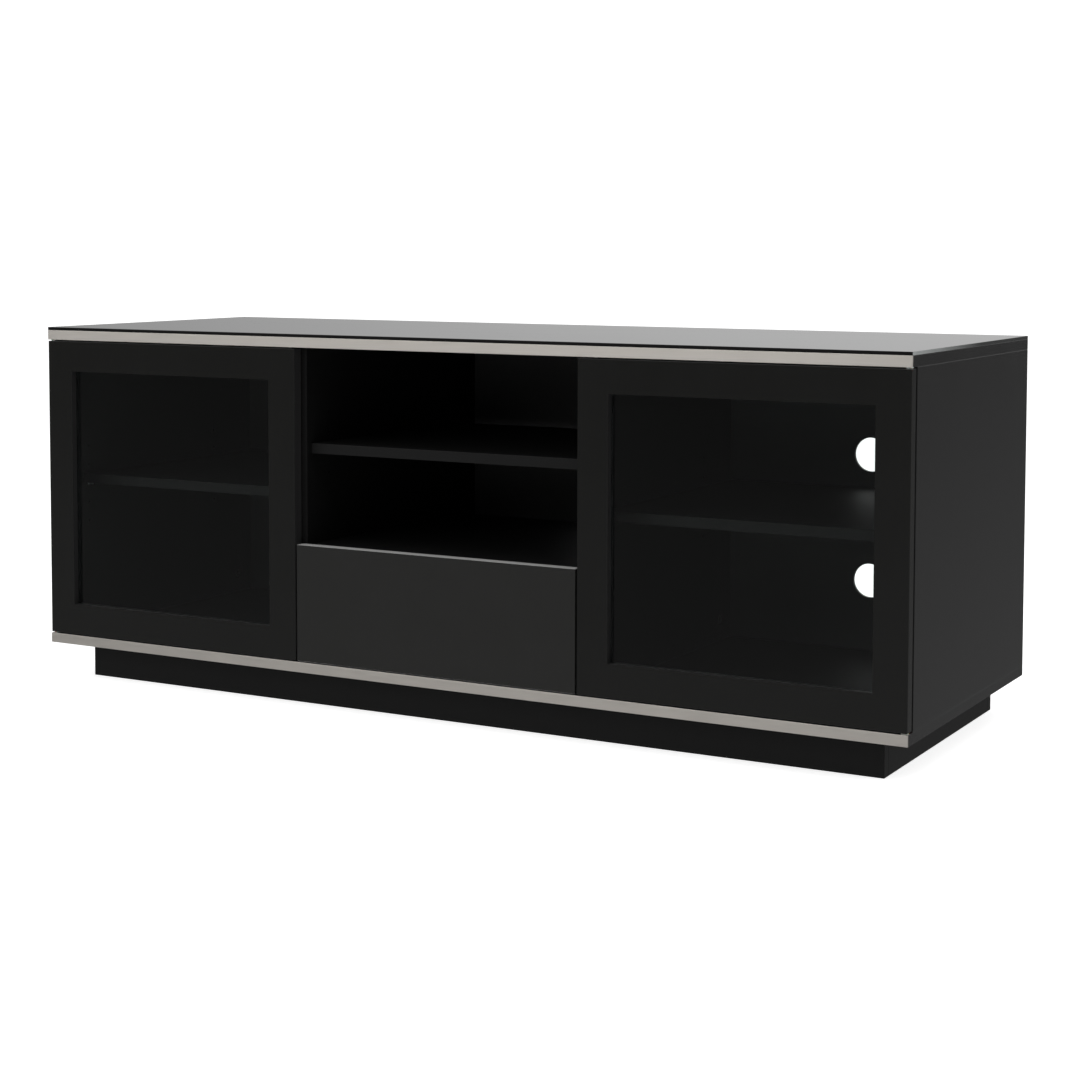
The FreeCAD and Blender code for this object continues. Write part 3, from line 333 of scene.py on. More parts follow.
def satin_foil(name, rgb, roughness):
    """Satin foil on fibreboard: soft gloss over a fine pore print."""
    material, tree, shader = new_material(name, IOR=1.46, Specular_IOR_Level=0.24)
    pores = lumps(tree, 0.9)
    vary(tree, shader, lumps(tree, 45, seed=3.0), rgb, (0.9, 1.12))
    tree.links.new(spread(tree, pores, roughness - 0.05, roughness + 0.07), shader.inputs["Roughness"])
    relief(tree, shader, pores, 0.02)
    return material


def lacquered_hardboard(rgb):
    """Thin fibreboard under black lacquer: dull, with matted fibres just showing."""
    material, tree, shader = new_material("Lacquered hardboard", IOR=1.45)
    fibres = lumps(tree, 1.6, stretch=(3, 1, 1), detail=4.0)
    vary(tree, shader, fibres, rgb, (0.75, 1.3), (0.42, 0.6))
    relief(tree, shader, fibres, 0.05)
    return material


def brushed_aluminium(rgb):
    """Anodised aluminium brushed along its length: fine streaks and a long soft glint."""
    material, tree, shader = new_material(
        "Brushed anodised aluminium", Metallic=1.0, Anisotropic=0.8, Anisotropic_Rotation=0.25,
    )
    # brush marks are about 0.1 mm wide and are drawn 0.6 mm wide, so that they show, and 60 mm long
    marks = lumps(tree, 0.6, stretch=(100, 1, 1), detail=3.0)
    vary(tree, shader, marks, rgb, (0.9, 1.06), (0.30, 0.46))
    relief(tree, shader, marks, 0.006)
    # the tangent runs along the trim, and the glint a quarter turn from it
    tangent = node(tree, "ShaderNodeTangent", direction_type="RADIAL", axis="Z")
    tree.links.new(tangent.outputs["Tangent"], shader.inputs["Tangent"])
    return material


def float_glass(tint):
    """Clear float glass: seen straight through, with a mirror on its near face."""
    material, tree, shader = new_material("Clear float glass")
    tree.nodes.remove(shader)
    clear = node(tree, "ShaderNodeBsdfTransparent", values={"Color": (*tint, 1.0)})
    gloss = node(tree, "ShaderNodeBsdfGlossy", values={"Roughness": 0.02})
    mirror = node(tree, "ShaderNodeFresnel", values={"IOR": 1.52})
    # the pane's far face doesn't mirror, so that the glint doesn't count twice
    face = node(tree, "ShaderNodeNewGeometry")
    near = calculate(tree, "SUBTRACT", 1.0, face.outputs["Backfacing"])
    share = calculate(tree, "MULTIPLY", mirror.outputs["Fac"], near)
    mixed = node(
        tree, "ShaderNodeMixShader", links={0: share, 1: clear.outputs["BSDF"], 2: gloss.outputs["BSDF"]},
    )
    tree.links.new(mixed.outputs["Shader"], tree.nodes["Material Output"].inputs["Surface"])
    return material


def bare_beech(rgb):
    """Planed beech: pale, straight grained, with short darker flecks."""
    material, tree, shader = new_material("Planed beech", Roughness=0.55, IOR=1.45)
    grain = lumps(tree, 2.2, stretch=(1, 1, 9), detail=4.0)
    flecks = lumps(tree, 0.9, stretch=(1, 1, 4), detail=1.0, seed=5.0)
    vary(tree, shader, grain, rgb, (0.78, 1.12))
    relief(tree, shader, flecks, 0.04)
    return material


def moulded_plastic(name, rgb, roughness, subsurface=0.0):
    """Injection moulding with a fine eroded grain and a soft sheen."""
    material, tree, shader = new_material(name, IOR=1.5, Subsurface_Weight=subsurface)
    shader.inputs["Subsurface Scale"].default_value = 1.5 * MM
    grain = lumps(tree, 0.5, detail=1.0)
    vary(tree, shader, grain, rgb, (0.92, 1.06), (roughness - 0.05, roughness + 0.05))
    relief(tree, shader, grain, 0.015)
    return material


def bare_metal(name, rgb, roughness, spot_mm, relief_mm):
    """Plated or cast metal: clouded by its crystals, with a fine tooth."""
    material, tree, shader = new_material(name, Metallic=1.0)
    crystals = lumps(tree, spot_mm, detail=3.0)
    vary(tree, shader, crystals, rgb, (0.92, 1.05), (roughness - 0.03, roughness + 0.05))
    relief(tree, shader, crystals, relief_mm)
    return material


def clear_silicone(rgb):
    """Soft clear silicone: milky, with a dull skin."""
    material, tree, shader = new_material(
        "Clear silicone", IOR=1.41, Subsurface_Weight=0.6, Transmission_Weight=0.25,
    )
    shader.inputs["Subsurface Scale"].default_value = 1.0 * MM
    vary(tree, shader, lumps(tree, 0.8, detail=1.0), rgb, (0.95, 1.0), (0.3, 0.42))
    return material


def make_materials(colours):
    """Every material, by its slot in the record, and two that only some nodes have."""
    made = {
        "black_glass": back_painted_glass(colours.glass_paint, colours.glass_end_highlight),
        "gloss_black_board": gloss_foil("High-gloss foil, carcass", colours.carcass_foil),
        "door_frames": gloss_foil("High-gloss foil, door frames", colours.frame_foil),
        "drawer_front": gloss_foil("High-gloss foil, drawer front", colours.drawer_foil),
        "black_board": satin_foil("Satin foil, inside", colours.inside_foil, 0.5),
        "plinth_board": satin_foil("Satin foil, plinth", colours.plinth_foil, 0.42),
        "back_board": lacquered_hardboard(colours.back_lacquer),
        "drawer_board": satin_foil("Matt foil, drawer box", colours.box_foil, 0.55),
        "brushed_trim": brushed_aluminium(colours.trim_metal),
        "door_glass": float_glass(colours.pane_tint),
        "raw_wood": bare_beech(colours.beech),
        "black_plastic": moulded_plastic("Moulded ABS", colours.moulding, 0.42),
        "nylon": moulded_plastic("Moulded nylon", colours.nylon, 0.45, subsurface=0.3),
        "steel": bare_metal("Zinc-plated steel", colours.plated_steel, 0.36, 6.0, 0.001),
        "zinc": bare_metal("Die-cast zinc", colours.cast_zinc, 0.45, 0.8, 0.02),
        "clear_rubber": clear_silicone(colours.silicone),
    }
    satin_inside(made["gloss_black_board"])
    # painted highlight: a pale colour on the drawer front's top and bottom faces
    tree = made["drawer_front"].node_tree
    level = calculate(tree, "GREATER_THAN", size_along(tree, "Normal", "Z"), 0.7)
    edge_highlight(made["drawer_front"], level, colours.edge_highlight, 0.5)
    # painted highlight: the frames' edge faces round the windows are painted lighter than the foil
    tree = made["door_frames"].node_tree
    # a frame's edge at the end of the cabinet keeps the foil of its face
    highlit_edges = calculate(
        tree, "MULTIPLY",
        calculate(tree, "LESS_THAN", size_along(tree, "Normal", "Y"), 0.5),
        calculate(tree, "LESS_THAN", size_along(tree, "Object", "X"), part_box("door_glass_right")[1].x),
    )
    edge_highlight(made["door_frames"], highlit_edges, colours.frame_edge_highlight, 0.35)
    return made


# filled by the first operator, for the others to use
MATERIALS = {}
# the nodes whose material isn't that of their slot in the record
OWN_MATERIALS = {
    "door_frame_left": "door_frames",
    "door_frame_right": "door_frames",
    "drawer_front": "drawer_front",
}


# ---------------------------------------------------------------- mesh helpers

def solids(name):
    """The corners' places of each separate solid in a CAD node."""
    work = bmesh.new()
    work.from_mesh(frame["nodes"][name].data)
    bmesh.ops.remove_doubles(work, verts=work.verts, dist=0.001 * MM)
    work.verts.ensure_lookup_table()
    left = set(work.verts)
    found = []
    while left:
        front = [left.pop()]
        island = list(front)
        while front:
            corner = front.pop()
            for edge in corner.link_edges:
                other = edge.other_vert(corner)
                if other in left:
                    left.remove(other)
                    front.append(other)
                    island.append(other)
        found.append([corner.co.copy() for corner in island])
    work.free()
    return sorted(found, key=lambda points: tuple(round(c, 4) for c in middle(points)))


def corners(points):
    """Lowest and highest corner round some points."""
    low = Vector([min(p[axis] for p in points) for axis in range(3)])
    high = Vector([max(p[axis] for p in points) for axis in range(3)])
    return low, high


def middle(points):
    """Middle of the box round some points."""
    low, high = corners(points)
    return (low + high) / 2


def new_piece(name, mesh):
    """An object at the origin that holds a mesh."""
    piece = bpy.data.objects.new(name, mesh)
    bpy.context.scene.collection.objects.link(piece)
    return piece


def closed_mesh(work, name, sharp=math.radians(35)):
    """Merge doubles, turn faces outwards, shade smooth up to an angle, and keep the mesh."""
    bmesh.ops.remove_doubles(work, verts=work.verts, dist=0.001 * MM)
    bmesh.ops.recalc_face_normals(work, faces=work.faces)
    mesh = bpy.data.meshes.new(name)
    work.to_mesh(mesh)
    work.free()
    mesh.shade_smooth()
    mesh.set_sharp_from_angle(angle=sharp)
    return mesh


def lathe(name, profile, segments=24):
    """Turn (radius, height) points round +Z. A radius of zero closes the shape."""
    work = bmesh.new()
    rings = []
    for radius, height in profile:
        if radius == 0:
            rings.append([work.verts.new((0, 0, height))])
            continue
        turns = [2 * math.pi * step / segments for step in range(segments)]
        rings.append([work.verts.new((radius * math.cos(t), radius * math.sin(t), height)) for t in turns])
    for low, high in zip(rings, rings[1:]):
        for step in range(segments):
            after = (step + 1) % segments
            corners_of_face = [low[step % len(low)], low[after % len(low)],
                               high[after % len(high)], high[step % len(high)]]
            work.faces.new(list(dict.fromkeys(corners_of_face)))
    return closed_mesh(work, name)


def rounded_box(name, low, high, round_by):
    """A box between two corners, with rounded edges."""
    work = bmesh.new()
    made = bmesh.ops.create_cube(work, size=1.0)["verts"]
    size = [high[axis] - low[axis] for axis in range(3)]
    centre = [(high[axis] + low[axis]) / 2 for axis in range(3)]
    bmesh.ops.scale(work, vec=size, verts=made)
    bmesh.ops.translate(work, vec=centre, verts=made)
    bmesh.ops.bevel(work, geom=work.edges[:], offset=round_by, segments=3, affect="EDGES", profile=0.5)
    return closed_mesh(work, name)


def rod(name, radius, low, high):
    """A cylinder along +Z between two heights."""
    return lathe(name, [(0, low), (radius, low), (radius, high), (0, high)], segments=32)


def cross_cutter(wide, reach, deep):
    """A cross-shaped tool that narrows as it goes down +Z from just above Z = 0."""
    work = bmesh.new()
    taper = 0.72
    for size in ((2 * reach, wide), (wide, 2 * reach)):
        made = bmesh.ops.create_cube(work, size=1.0)["verts"]
        for corner in made:
            shrink = taper if corner.co.z > 0 else 1.0
            corner.co.x *= size[0] * shrink
            corner.co.y *= size[1] * shrink
            corner.co.z = deep if corner.co.z > 0 else -deep
    mesh = bpy.data.meshes.new("cross cutter")
    work.to_mesh(mesh)
    work.free()
    return mesh


def evaluated(piece):
    """A plain mesh of a piece with its modifiers worked out."""
    bpy.context.view_layer.update()
    return bpy.data.meshes.new_from_object(piece.evaluated_get(bpy.context.evaluated_depsgraph_get()))


def carve(mesh, tool, keep_name):
    """The mesh with a tool's shape cut out of it."""
    piece, cutter = new_piece(keep_name, mesh), new_piece("tool", tool)
    cutting = piece.modifiers.new("cut", "BOOLEAN")
    cutting.object = cutter
    cutting.operation = "DIFFERENCE"
    cutting.solver = "EXACT"
    cutting.use_self = True
    work = bmesh.new()
    work.from_mesh(evaluated(piece))
    for thing in (piece, cutter):
        bpy.data.objects.remove(thing)
    return closed_mesh(work, keep_name)


def join(name, meshes):
    """One mesh from several, with their materials."""
    work = bmesh.new()
    materials = []
    for mesh in meshes:
        first = len(work.faces)
        work.from_mesh(mesh)
        work.faces.ensure_lookup_table()
        for face in work.faces[first:]:
            material = mesh.materials[face.material_index] if mesh.materials else None
            if material not in materials:
                materials.append(material)
            face.material_index = materials.index(material)
    joined = bpy.data.meshes.new(name)
    work.to_mesh(joined)
    work.free()
    for material in materials:
        joined.materials.append(material)
    return joined


# -------------------------------------------------------------- geometry nodes

def new_tree(name, sockets):
    """An empty tree with geometry in and out and its named inputs."""
    tree = bpy.data.node_groups.new(name, "GeometryNodeTree")
    tree.interface.new_socket("Geometry", in_out="INPUT", socket_type="NodeSocketGeometry")
    for title, kind in sockets.items():
        tree.interface.new_socket(title, in_out="INPUT", socket_type=f"NodeSocket{kind}")
    tree.interface.new_socket("Geometry", in_out="OUTPUT", socket_type="NodeSocketGeometry")
    return tree, tree.nodes.new("NodeGroupInput").outputs


def finish_tree(tree, geometry, material):
    """Realise the instances, set the material and send the result out."""
    real = node(tree, "GeometryNodeRealizeInstances", links={"Geometry": geometry})
    painted = node(
        tree, "GeometryNodeSetMaterial",
        links={"Geometry": real.outputs["Geometry"], "Material": material},
    )
    node(tree, "NodeGroupOutput", links={"Geometry": painted.outputs["Geometry"]})
    return tree


def fittings_tree():
    """One fitting on every point: its +Z along the point's heading, +X along its side."""
    tree, inputs = new_tree("Fittings on points", {
        "Fitting": "Object", "Most Spin": "Float", "Seed": "Int", "Material": "Material",
    })
    heading = node(
        tree, "GeometryNodeInputNamedAttribute", data_type="FLOAT_VECTOR", values={"Name": "heading"},
    )
    side = node(tree, "GeometryNodeInputNamedAttribute", data_type="FLOAT_VECTOR", values={"Name": "side"})
    turn = node(
        tree, "FunctionNodeAxesToRotation", primary_axis="Z", secondary_axis="X",
        links={"Primary Axis": heading.outputs["Attribute"], "Secondary Axis": side.outputs["Attribute"]},
    )
    fitting = node(
        tree, "GeometryNodeObjectInfo", transform_space="ORIGINAL",
        values={"As Instance": True}, links={"Object": inputs["Fitting"]},
    )
    placed = node(
        tree, "GeometryNodeInstanceOnPoints",
        links={
            "Points": inputs["Geometry"],
            "Instance": fitting.outputs["Geometry"],
            "Rotation": turn.outputs["Rotation"],
        },
    )
    chance = node(tree, "FunctionNodeRandomValue", data_type="FLOAT", links={"Seed": inputs["Seed"]})
    low, high = [socket for socket in chance.inputs if socket.type == "VALUE" and socket.enabled][:2]
    low.default_value = 0.0
    tree.links.new(inputs["Most Spin"], high)
    value = next(socket for socket in chance.outputs if socket.enabled)
    spin = node(tree, "ShaderNodeCombineXYZ", links={"Z": value})
    spun = node(
        tree, "GeometryNodeRotateInstances", values={"Local Space": True},
        links={"Instances": placed.outputs["Instances"], "Rotation": spin.outputs["Vector"]},
    )
    return finish_tree(tree, spun.outputs["Instances"], inputs["Material"])


def ball_tree():
    """Balls along every edge, a pitch apart, held in a flat strip."""
    tree, inputs = new_tree("Balls in a cage", {
        "Ball Diameter": "Float", "Ball Pitch": "Float", "Cage Width": "Float",
        "Cage Thickness": "Float", "Material": "Material",
    })
    track = node(tree, "GeometryNodeMeshToCurve", links={"Mesh": inputs["Geometry"]})
    spaced = node(
        tree, "GeometryNodeResampleCurve", mode="LENGTH",
        links={"Curve": track.outputs["Curve"], "Length": inputs["Ball Pitch"]},
    )
    radius = calculate(tree, "MULTIPLY", inputs["Ball Diameter"], 0.5)
    ball = node(tree, "GeometryNodeMeshIcoSphere", values={"Subdivisions": 3}, links={"Radius": radius})
    smooth = node(tree, "GeometryNodeSetShadeSmooth", links={"Geometry": ball.outputs["Mesh"]})
    balls = node(
        tree, "GeometryNodeInstanceOnPoints",
        links={"Points": spaced.outputs["Curve"], "Instance": smooth.outputs["Geometry"]},
    )
    upright = node(
        tree, "GeometryNodeSetCurveNormal", mode="Z_UP", links={"Curve": track.outputs["Curve"]},
    )
    outline = node(
        tree, "GeometryNodeCurvePrimitiveQuadrilateral", mode="RECTANGLE",
        links={"Width": inputs["Cage Width"], "Height": inputs["Cage Thickness"]},
    )
    cage = node(
        tree, "GeometryNodeCurveToMesh", values={"Fill Caps": True},
        links={"Curve": upright.outputs["Curve"], "Profile Curve": outline.outputs["Curve"]},
    )
    both = node(tree, "GeometryNodeJoinGeometry", links={"Geometry": balls.outputs["Instances"]})
    tree.links.new(cage.outputs["Mesh"], both.inputs["Geometry"])
    return finish_tree(tree, both.outputs["Geometry"], inputs["Material"])


def grow(name, tree, mesh, values):
    """Run a tree on a mesh with named input values, and keep the result as a plain mesh."""
    piece = new_piece(name, mesh)
    modifier = piece.modifiers.new(tree.name, "NODES")
    modifier.node_group = tree
    for socket in tree.interface.items_tree:
        if socket.in_out == "INPUT" and socket.name in values:
            modifier[socket.identifier] = values[socket.name]
    grown = evaluated(piece)
    bpy.data.objects.remove(piece)
    if not grown.polygons:
        raise RuntimeError(f"{name} came out empty")
    grown.name = name
    return grown


def set_out(name, places, fitting, material, spin=0.0, seed=0):
    """Copies of a fitting's mesh at (point, heading, side) places, as one mesh."""
    points = bpy.data.meshes.new(f"{name} places")
    points.from_pydata([place[0] for place in places], [], [])
    for number, title in ((1, "heading"), (2, "side")):
        attribute = points.attributes.new(title, "FLOAT_VECTOR", "POINT")
        attribute.data.foreach_set("vector", [c for place in places for c in place[number]])
    pattern = new_piece(f"{name} pattern", fitting)
    tree = bpy.data.node_groups.get("Fittings on points") or fittings_tree()
    values = {"Fitting": pattern, "Most Spin": spin, "Seed": seed, "Material": material}
    mesh = grow(name, tree, points, values)
    bpy.data.objects.remove(pattern)
    return mesh


def keep(name, mesh, body, slot, *nodes):
    """Put a finished mesh on its body in place of its CAD nodes."""
    piece = new_piece(name, mesh)
    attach(piece, body)
    if nodes:
        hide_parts(*nodes)
    return piece


# ---------------------------------------------------------------------- pieces

def screw_places(name):
    """Heads, headings and radii of the screws in a CAD node, by length in millimetres."""
    found = {}
    for points in solids(name):
        low, high = corners(points)
        size, centre = high - low, (low + high) / 2
        axis = max(range(3), key=lambda number: size[number])
        radii = []
        for end in (low, high):
            near = [p - centre for p in points if abs(p[axis] - end[axis]) < 0.01 * MM]
            radii.append(max(math.hypot(*[p[n] for n in range(3) if n != axis]) for p in near))
        head_high = radii[1] > radii[0]
        start, heading, side = centre.copy(), Vector(), Vector()
        start[axis] = high[axis] if head_high else low[axis]
        heading[axis] = -1.0 if head_high else 1.0
        side[(axis + 1) % 3] = 1.0
        kind = found.setdefault(round(size[axis] / MM, 1), {"places": []})
        kind["places"].append((start, heading, side))
        kind.setdefault("head", max(radii))
        kind.setdefault("shank", min(radii))
    return found


def wood_screw(sizes, long, head, shank):
    """A countersunk wood screw: cross recess, cone, threaded shank and point."""
    sunk = 2.0 * MM  # the cone's depth
    rim = 0.25 * MM
    point = 3.0 * MM
    root = shank * 0.72
    profile = [(0, 0), (head - rim, 0), (head, rim), (head, 1.5 * rim), (shank, sunk)]
    height = sunk + sizes.thread_pitch
    profile.append((root, height))
    while height + sizes.thread_pitch < long - point:
        profile += [
            (root, height + 0.35 * sizes.thread_pitch),
            (shank, height + 0.5 * sizes.thread_pitch),
            (root, height + 0.65 * sizes.thread_pitch),
        ]
        height += sizes.thread_pitch
    profile += [(root, long - point), (0, long)]
    body = lathe("screw", profile, segments=20)
    return carve(body, cross_cutter(sizes.recess_wide, sizes.recess_reach, sizes.recess_deep), "screw")


def make_screws(name, body, cad_node, sizes):
    """Every wood screw of one body."""
    meshes = []
    for number, (long, found) in enumerate(sorted(screw_places(cad_node).items())):
        screw = wood_screw(sizes, long * MM, found["head"], found["shank"])
        meshes.append(set_out(
            f"{name} {number}", found["places"], screw, MATERIALS["steel"],
            spin=math.pi, seed=sizes.spin_seed + number,
        ))
    keep(name, join(name, meshes), body, "steel", cad_node)


def make_cam_locks(sizes):
    """Cam locks with a cross slot and an arrow towards the bolt."""
    drums = solids("cam_locks")
    low, high = corners(drums[0])
    radius = (high.y - low.y) / 2
    deep = high.x - low.x
    bevel = 0.4 * MM
    profile = [
        (0, 0), (radius - bevel, 0), (radius, bevel), (radius, deep - bevel), (radius - bevel, deep),
        (0, deep),
    ]
    drum = lathe("cam", profile, segments=40)
    cross = cross_cutter(sizes.cam_recess_wide, sizes.cam_recess_reach, sizes.cam_recess_deep)
    drum = carve(drum, cross, "cam")
    # the arrow lies between the slot's end and the rim, and points along +X
    arrow = bmesh.new()
    tip, tail = radius - 0.7 * MM, radius - 2.4 * MM
    half_wide = 1.3 * MM
    outline = [(tip, 0.0), (tail, half_wide), (tail, -half_wide)]
    rows = [[arrow.verts.new((x, y, z)) for x, y in outline] for z in (-bevel, bevel)]
    arrow.faces.new(rows[0])
    arrow.faces.new(rows[1])
    for step in range(3):
        after = (step + 1) % 3
        arrow.faces.new((rows[0][step], rows[0][after], rows[1][after], rows[1][step]))
    drum = carve(drum, closed_mesh(arrow, "arrow"), "cam")
    half_way = (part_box("bottom_panel")[1].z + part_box("top_panel")[0].z) / 2
    compartment = (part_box("divider_right")[1].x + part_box("side_panel_right")[0].x) / 2
    places = []
    for points in drums:
        low, high = corners(points)
        centre = (low + high) / 2
        towards = math.copysign(compartment, centre.x) - centre.x
        face = high.x if towards > 0 else low.x
        heading = Vector((-math.copysign(1.0, towards), 0, 0))
        side = Vector((0, 0, 1.0 if centre.z > half_way else -1.0))
        places.append((Vector((face, centre.y, centre.z)), heading, side))
    mesh = set_out("cam_lock_drums", places, drum, MATERIALS["zinc"])
    keep("cam_lock_drums", mesh, "root", "zinc", "cam_locks")


def make_pegs(sizes):
    """Shelf pegs with a collar at the board's face, and the pins in the bay floor's ends."""
    loose, fixed = [], []
    floor_low, floor_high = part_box("bay_floor")
    boards = [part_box(name) for name in UPRIGHTS]
    for points in solids("shelf_pegs"):
        low, high = corners(points)
        centre, size = (low + high) / 2, high - low
        held = floor_low.z < centre.z < floor_high.z and abs(centre.x) < floor_high.x + size.x
        # the peg's heading runs out of the board that its end is sunk in
        sunk_low = any(board[0].x < low.x < board[1].x for board in boards)
        start = Vector((low.x if sunk_low else high.x, centre.y, centre.z))
        heading = Vector((1.0 if sunk_low else -1.0, 0, 0))
        (fixed if held else loose).append((start, heading, Vector((0, 0, 1)), size))
    meshes = []
    nose = 0.5 * MM
    edge = 0.2 * MM
    for group, collared in ((loose, True), (fixed, False)):
        start, heading, _, size = group[0]
        long, radius = size.x, size.z / 2
        profile = [(0, 0), (radius - nose, 0), (radius, nose)]
        if collared:
            low, high = board_depth(start, heading), board_depth(start, heading) + sizes.collar_thick
            rim = radius + sizes.collar_out
            profile += [
                (radius, low), (rim - edge, low), (rim, low + edge),
                (rim, high - edge), (rim - edge, high), (radius, high),
            ]
        profile += [(radius, long - nose), (radius - nose, long), (0, long)]
        places = [place[:3] for place in group]
        meshes.append(set_out("peg row", places, lathe("peg", profile), MATERIALS["steel"]))
    keep("shelf_support_pegs", join("shelf_support_pegs", meshes), "root", "steel", "shelf_pegs")


def board_depth(start, heading):
    """How deep a peg's end sits in its board."""
    for name in UPRIGHTS:
        low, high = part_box(name)
        if low.x < start.x < high.x:
            return (high.x - start.x) if heading.x > 0 else (start.x - low.x)
    raise RuntimeError("a peg is in no board")


def make_ball_cages(sizes):
    """The balls of both ball tracks of each runner, which travel with the middle channel."""
    ends = []
    for side in ("left", "right"):
        outer, mid, inner = [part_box(f"runner_{part}_{side}") for part in ("outer", "middle", "inner")]
        sheet = sheet_thickness(side)
        ball = mid[0].z - outer[0].z - sheet
        # the outer track's balls keep to the rear half, and the inner track's to the front half
        clear = 4 * ball
        halfway = (mid[0].y + mid[1].y) / 2
        rear = (halfway + clear, mid[1].y - clear)
        front = (mid[0].y + clear, halfway - clear)
        across = (mid[0].x + mid[1].x) / 2
        to_inner = (across + (inner[0].x + inner[1].x) / 2) / 2
        inset = sheet + ball / 2
        for x, span, track in ((across, rear, outer), (to_inner, front, mid)):
            for height in (track[0].z + inset, track[1].z - inset):
                ends += [(x, span[0], height), (x, span[1], height)]
    mesh = bpy.data.meshes.new("tracks")
    mesh.from_pydata(ends, [(number, number + 1) for number in range(0, len(ends), 2)], [])
    tree = bpy.data.node_groups.get("Balls in a cage") or ball_tree()
    values = {
        "Ball Diameter": ball - 0.1 * MM, "Ball Pitch": sizes.ball_pitch, "Cage Width": 1.6 * ball,
        "Cage Thickness": sizes.cage_thick, "Material": MATERIALS["steel"],
    }
    keep("runner_ball_cages", grow("runner_ball_cages", tree, mesh, values), "runner_middles", "steel")


def sheet_thickness(side):
    """Thickness of a runner's sheet steel, from the two lowest levels of its outer channel."""
    channel = frame["nodes"][f"runner_outer_{side}"].data
    levels = sorted({round(corner.co.z, 6) for corner in channel.vertices})
    return levels[1] - levels[0]


def make_latch(name, sizes):
    """A moulded push latch: ribbed body, square collars at both ends and a bored front."""
    low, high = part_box(f"latch_housing_{name}")
    tip_low, tip_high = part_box(f"latch_plunger_{name}")
    centre, half = (low + high) / 2, (high - low) / 2
    collar = 2.5 * MM
    inset = Vector((sizes.latch_wall, 0.5 * MM, sizes.latch_wall))
    body = rounded_box("latch body", low + inset, high - inset, 1.0 * MM)
    front = rounded_box("latch collar", low, (high.x, low.y + collar, high.z), 0.6 * MM)
    rear = rounded_box("latch foot", (low.x, high.y - collar, low.z), high, 0.6 * MM)
    # the bore clears the plunger all round, and runs a little past its end
    radius = (tip_high.x - tip_low.x) / 2 + 0.05 * MM
    bore = rod("bore", radius, -collar, tip_high.y - low.y + 1.0 * MM)
    bore.transform(Matrix.Translation((centre.x, low.y, centre.z)) @ BACKWARDS)
    body = carve(body, bore.copy(), "latch body")
    front = carve(front, bore, "latch collar")
    # the ribs stop just short of the collars' edges, and stand clear of the bore
    step = 0.2 * MM
    reach = Vector((half.x - step, 0.5 * MM, half.z - step))
    rib_bore = rod("rib bore", radius + 1.5 * MM, -collar, collar)
    rib_bore.transform(BACKWARDS)
    rib = carve(rounded_box("rib", -reach, reach, step), rib_bore, "rib")
    places = []
    y = low.y + collar + sizes.rib_pitch
    while y < high.y - collar - 0.5 * sizes.rib_pitch:
        places.append((Vector((centre.x, y, centre.z)), Vector((0, 0, 1)), Vector((1, 0, 0))))
        y += sizes.rib_pitch
    ribs = set_out("ribs", places, rib, MATERIALS["black_plastic"])
    for mesh in (body, front, rear):
        mesh.materials.append(MATERIALS["black_plastic"])
    latch = join(f"push_latch_{name}", [body, front, rear, ribs])
    keep(f"push_latch_{name}", latch, "root", "black_plastic", f"latch_housing_{name}")


def make_plunger(name):
    """A latch's plunger: a grooved nylon pin with a magnet sunk in its tip."""
    low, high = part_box(f"latch_plunger_{name}")
    centre = (low + high) / 2
    radius = (high.x - low.x) / 2
    long = high.y - low.y
    edge = 0.5 * MM
    groove = radius - 0.4 * MM
    magnet = radius - 1.2 * MM
    pin = lathe("plunger", [
        (0, 0.3 * MM), (magnet, 0.3 * MM), (magnet, 0), (radius - edge, 0), (radius, edge),
        (radius, 4.0 * MM), (groove, 4.3 * MM), (groove, 5.3 * MM), (radius, 5.6 * MM),
        (radius, long - edge), (radius - edge, long), (0, long),
    ], segments=32)
    disc = lathe("magnet", [
        (0, 0.05 * MM), (magnet - 0.3 * MM, 0.05 * MM), (magnet - 0.1 * MM, 0.25 * MM),
        (magnet - 0.1 * MM, 2 * MM), (0, 2 * MM),
    ], segments=32)
    pin.materials.append(MATERIALS["nylon"])
    disc.materials.append(MATERIALS["steel"])
    mesh = join(f"latch_tip_{name}", [pin, disc])
    mesh.transform(Matrix.Translation((centre.x, low.y, centre.z)) @ BACKWARDS)
    keep(f"latch_tip_{name}", mesh, f"latch_plunger_{name}", "nylon", f"latch_plunger_{name}")


def make_strike(side, sizes):
    """A strike plate: a steel disc with a countersunk screw through its middle."""
    low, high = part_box(f"strike_plate_{side}")
    radius = (high.x - low.x) / 2
    thick = high.y - low.y
    head = 3.0 * MM
    profile = [
        (0, thick), (radius, thick), (radius, 0.3 * MM), (radius - 0.3 * MM, 0), (head + 0.4 * MM, 0),
        (head + 0.1 * MM, 0.3 * MM), (head, 0.1 * MM), (head - 0.2 * MM, 0.05 * MM), (0, 0.05 * MM),
    ]
    plate = lathe("strike", profile, segments=40)
    plate = carve(plate, cross_cutter(sizes.recess_wide, sizes.recess_reach, 0.8 * MM), "strike")
    plate.materials.append(MATERIALS["steel"])
    centre = (low + high) / 2
    # local +Z runs from the plate's face into the door
    plate.transform(Matrix.Translation((centre.x, high.y, centre.z)) @ BACKWARDS.inverted())
    keep(f"strike_disc_{side}", plate, f"door_{side}", "steel", f"strike_plate_{side}")


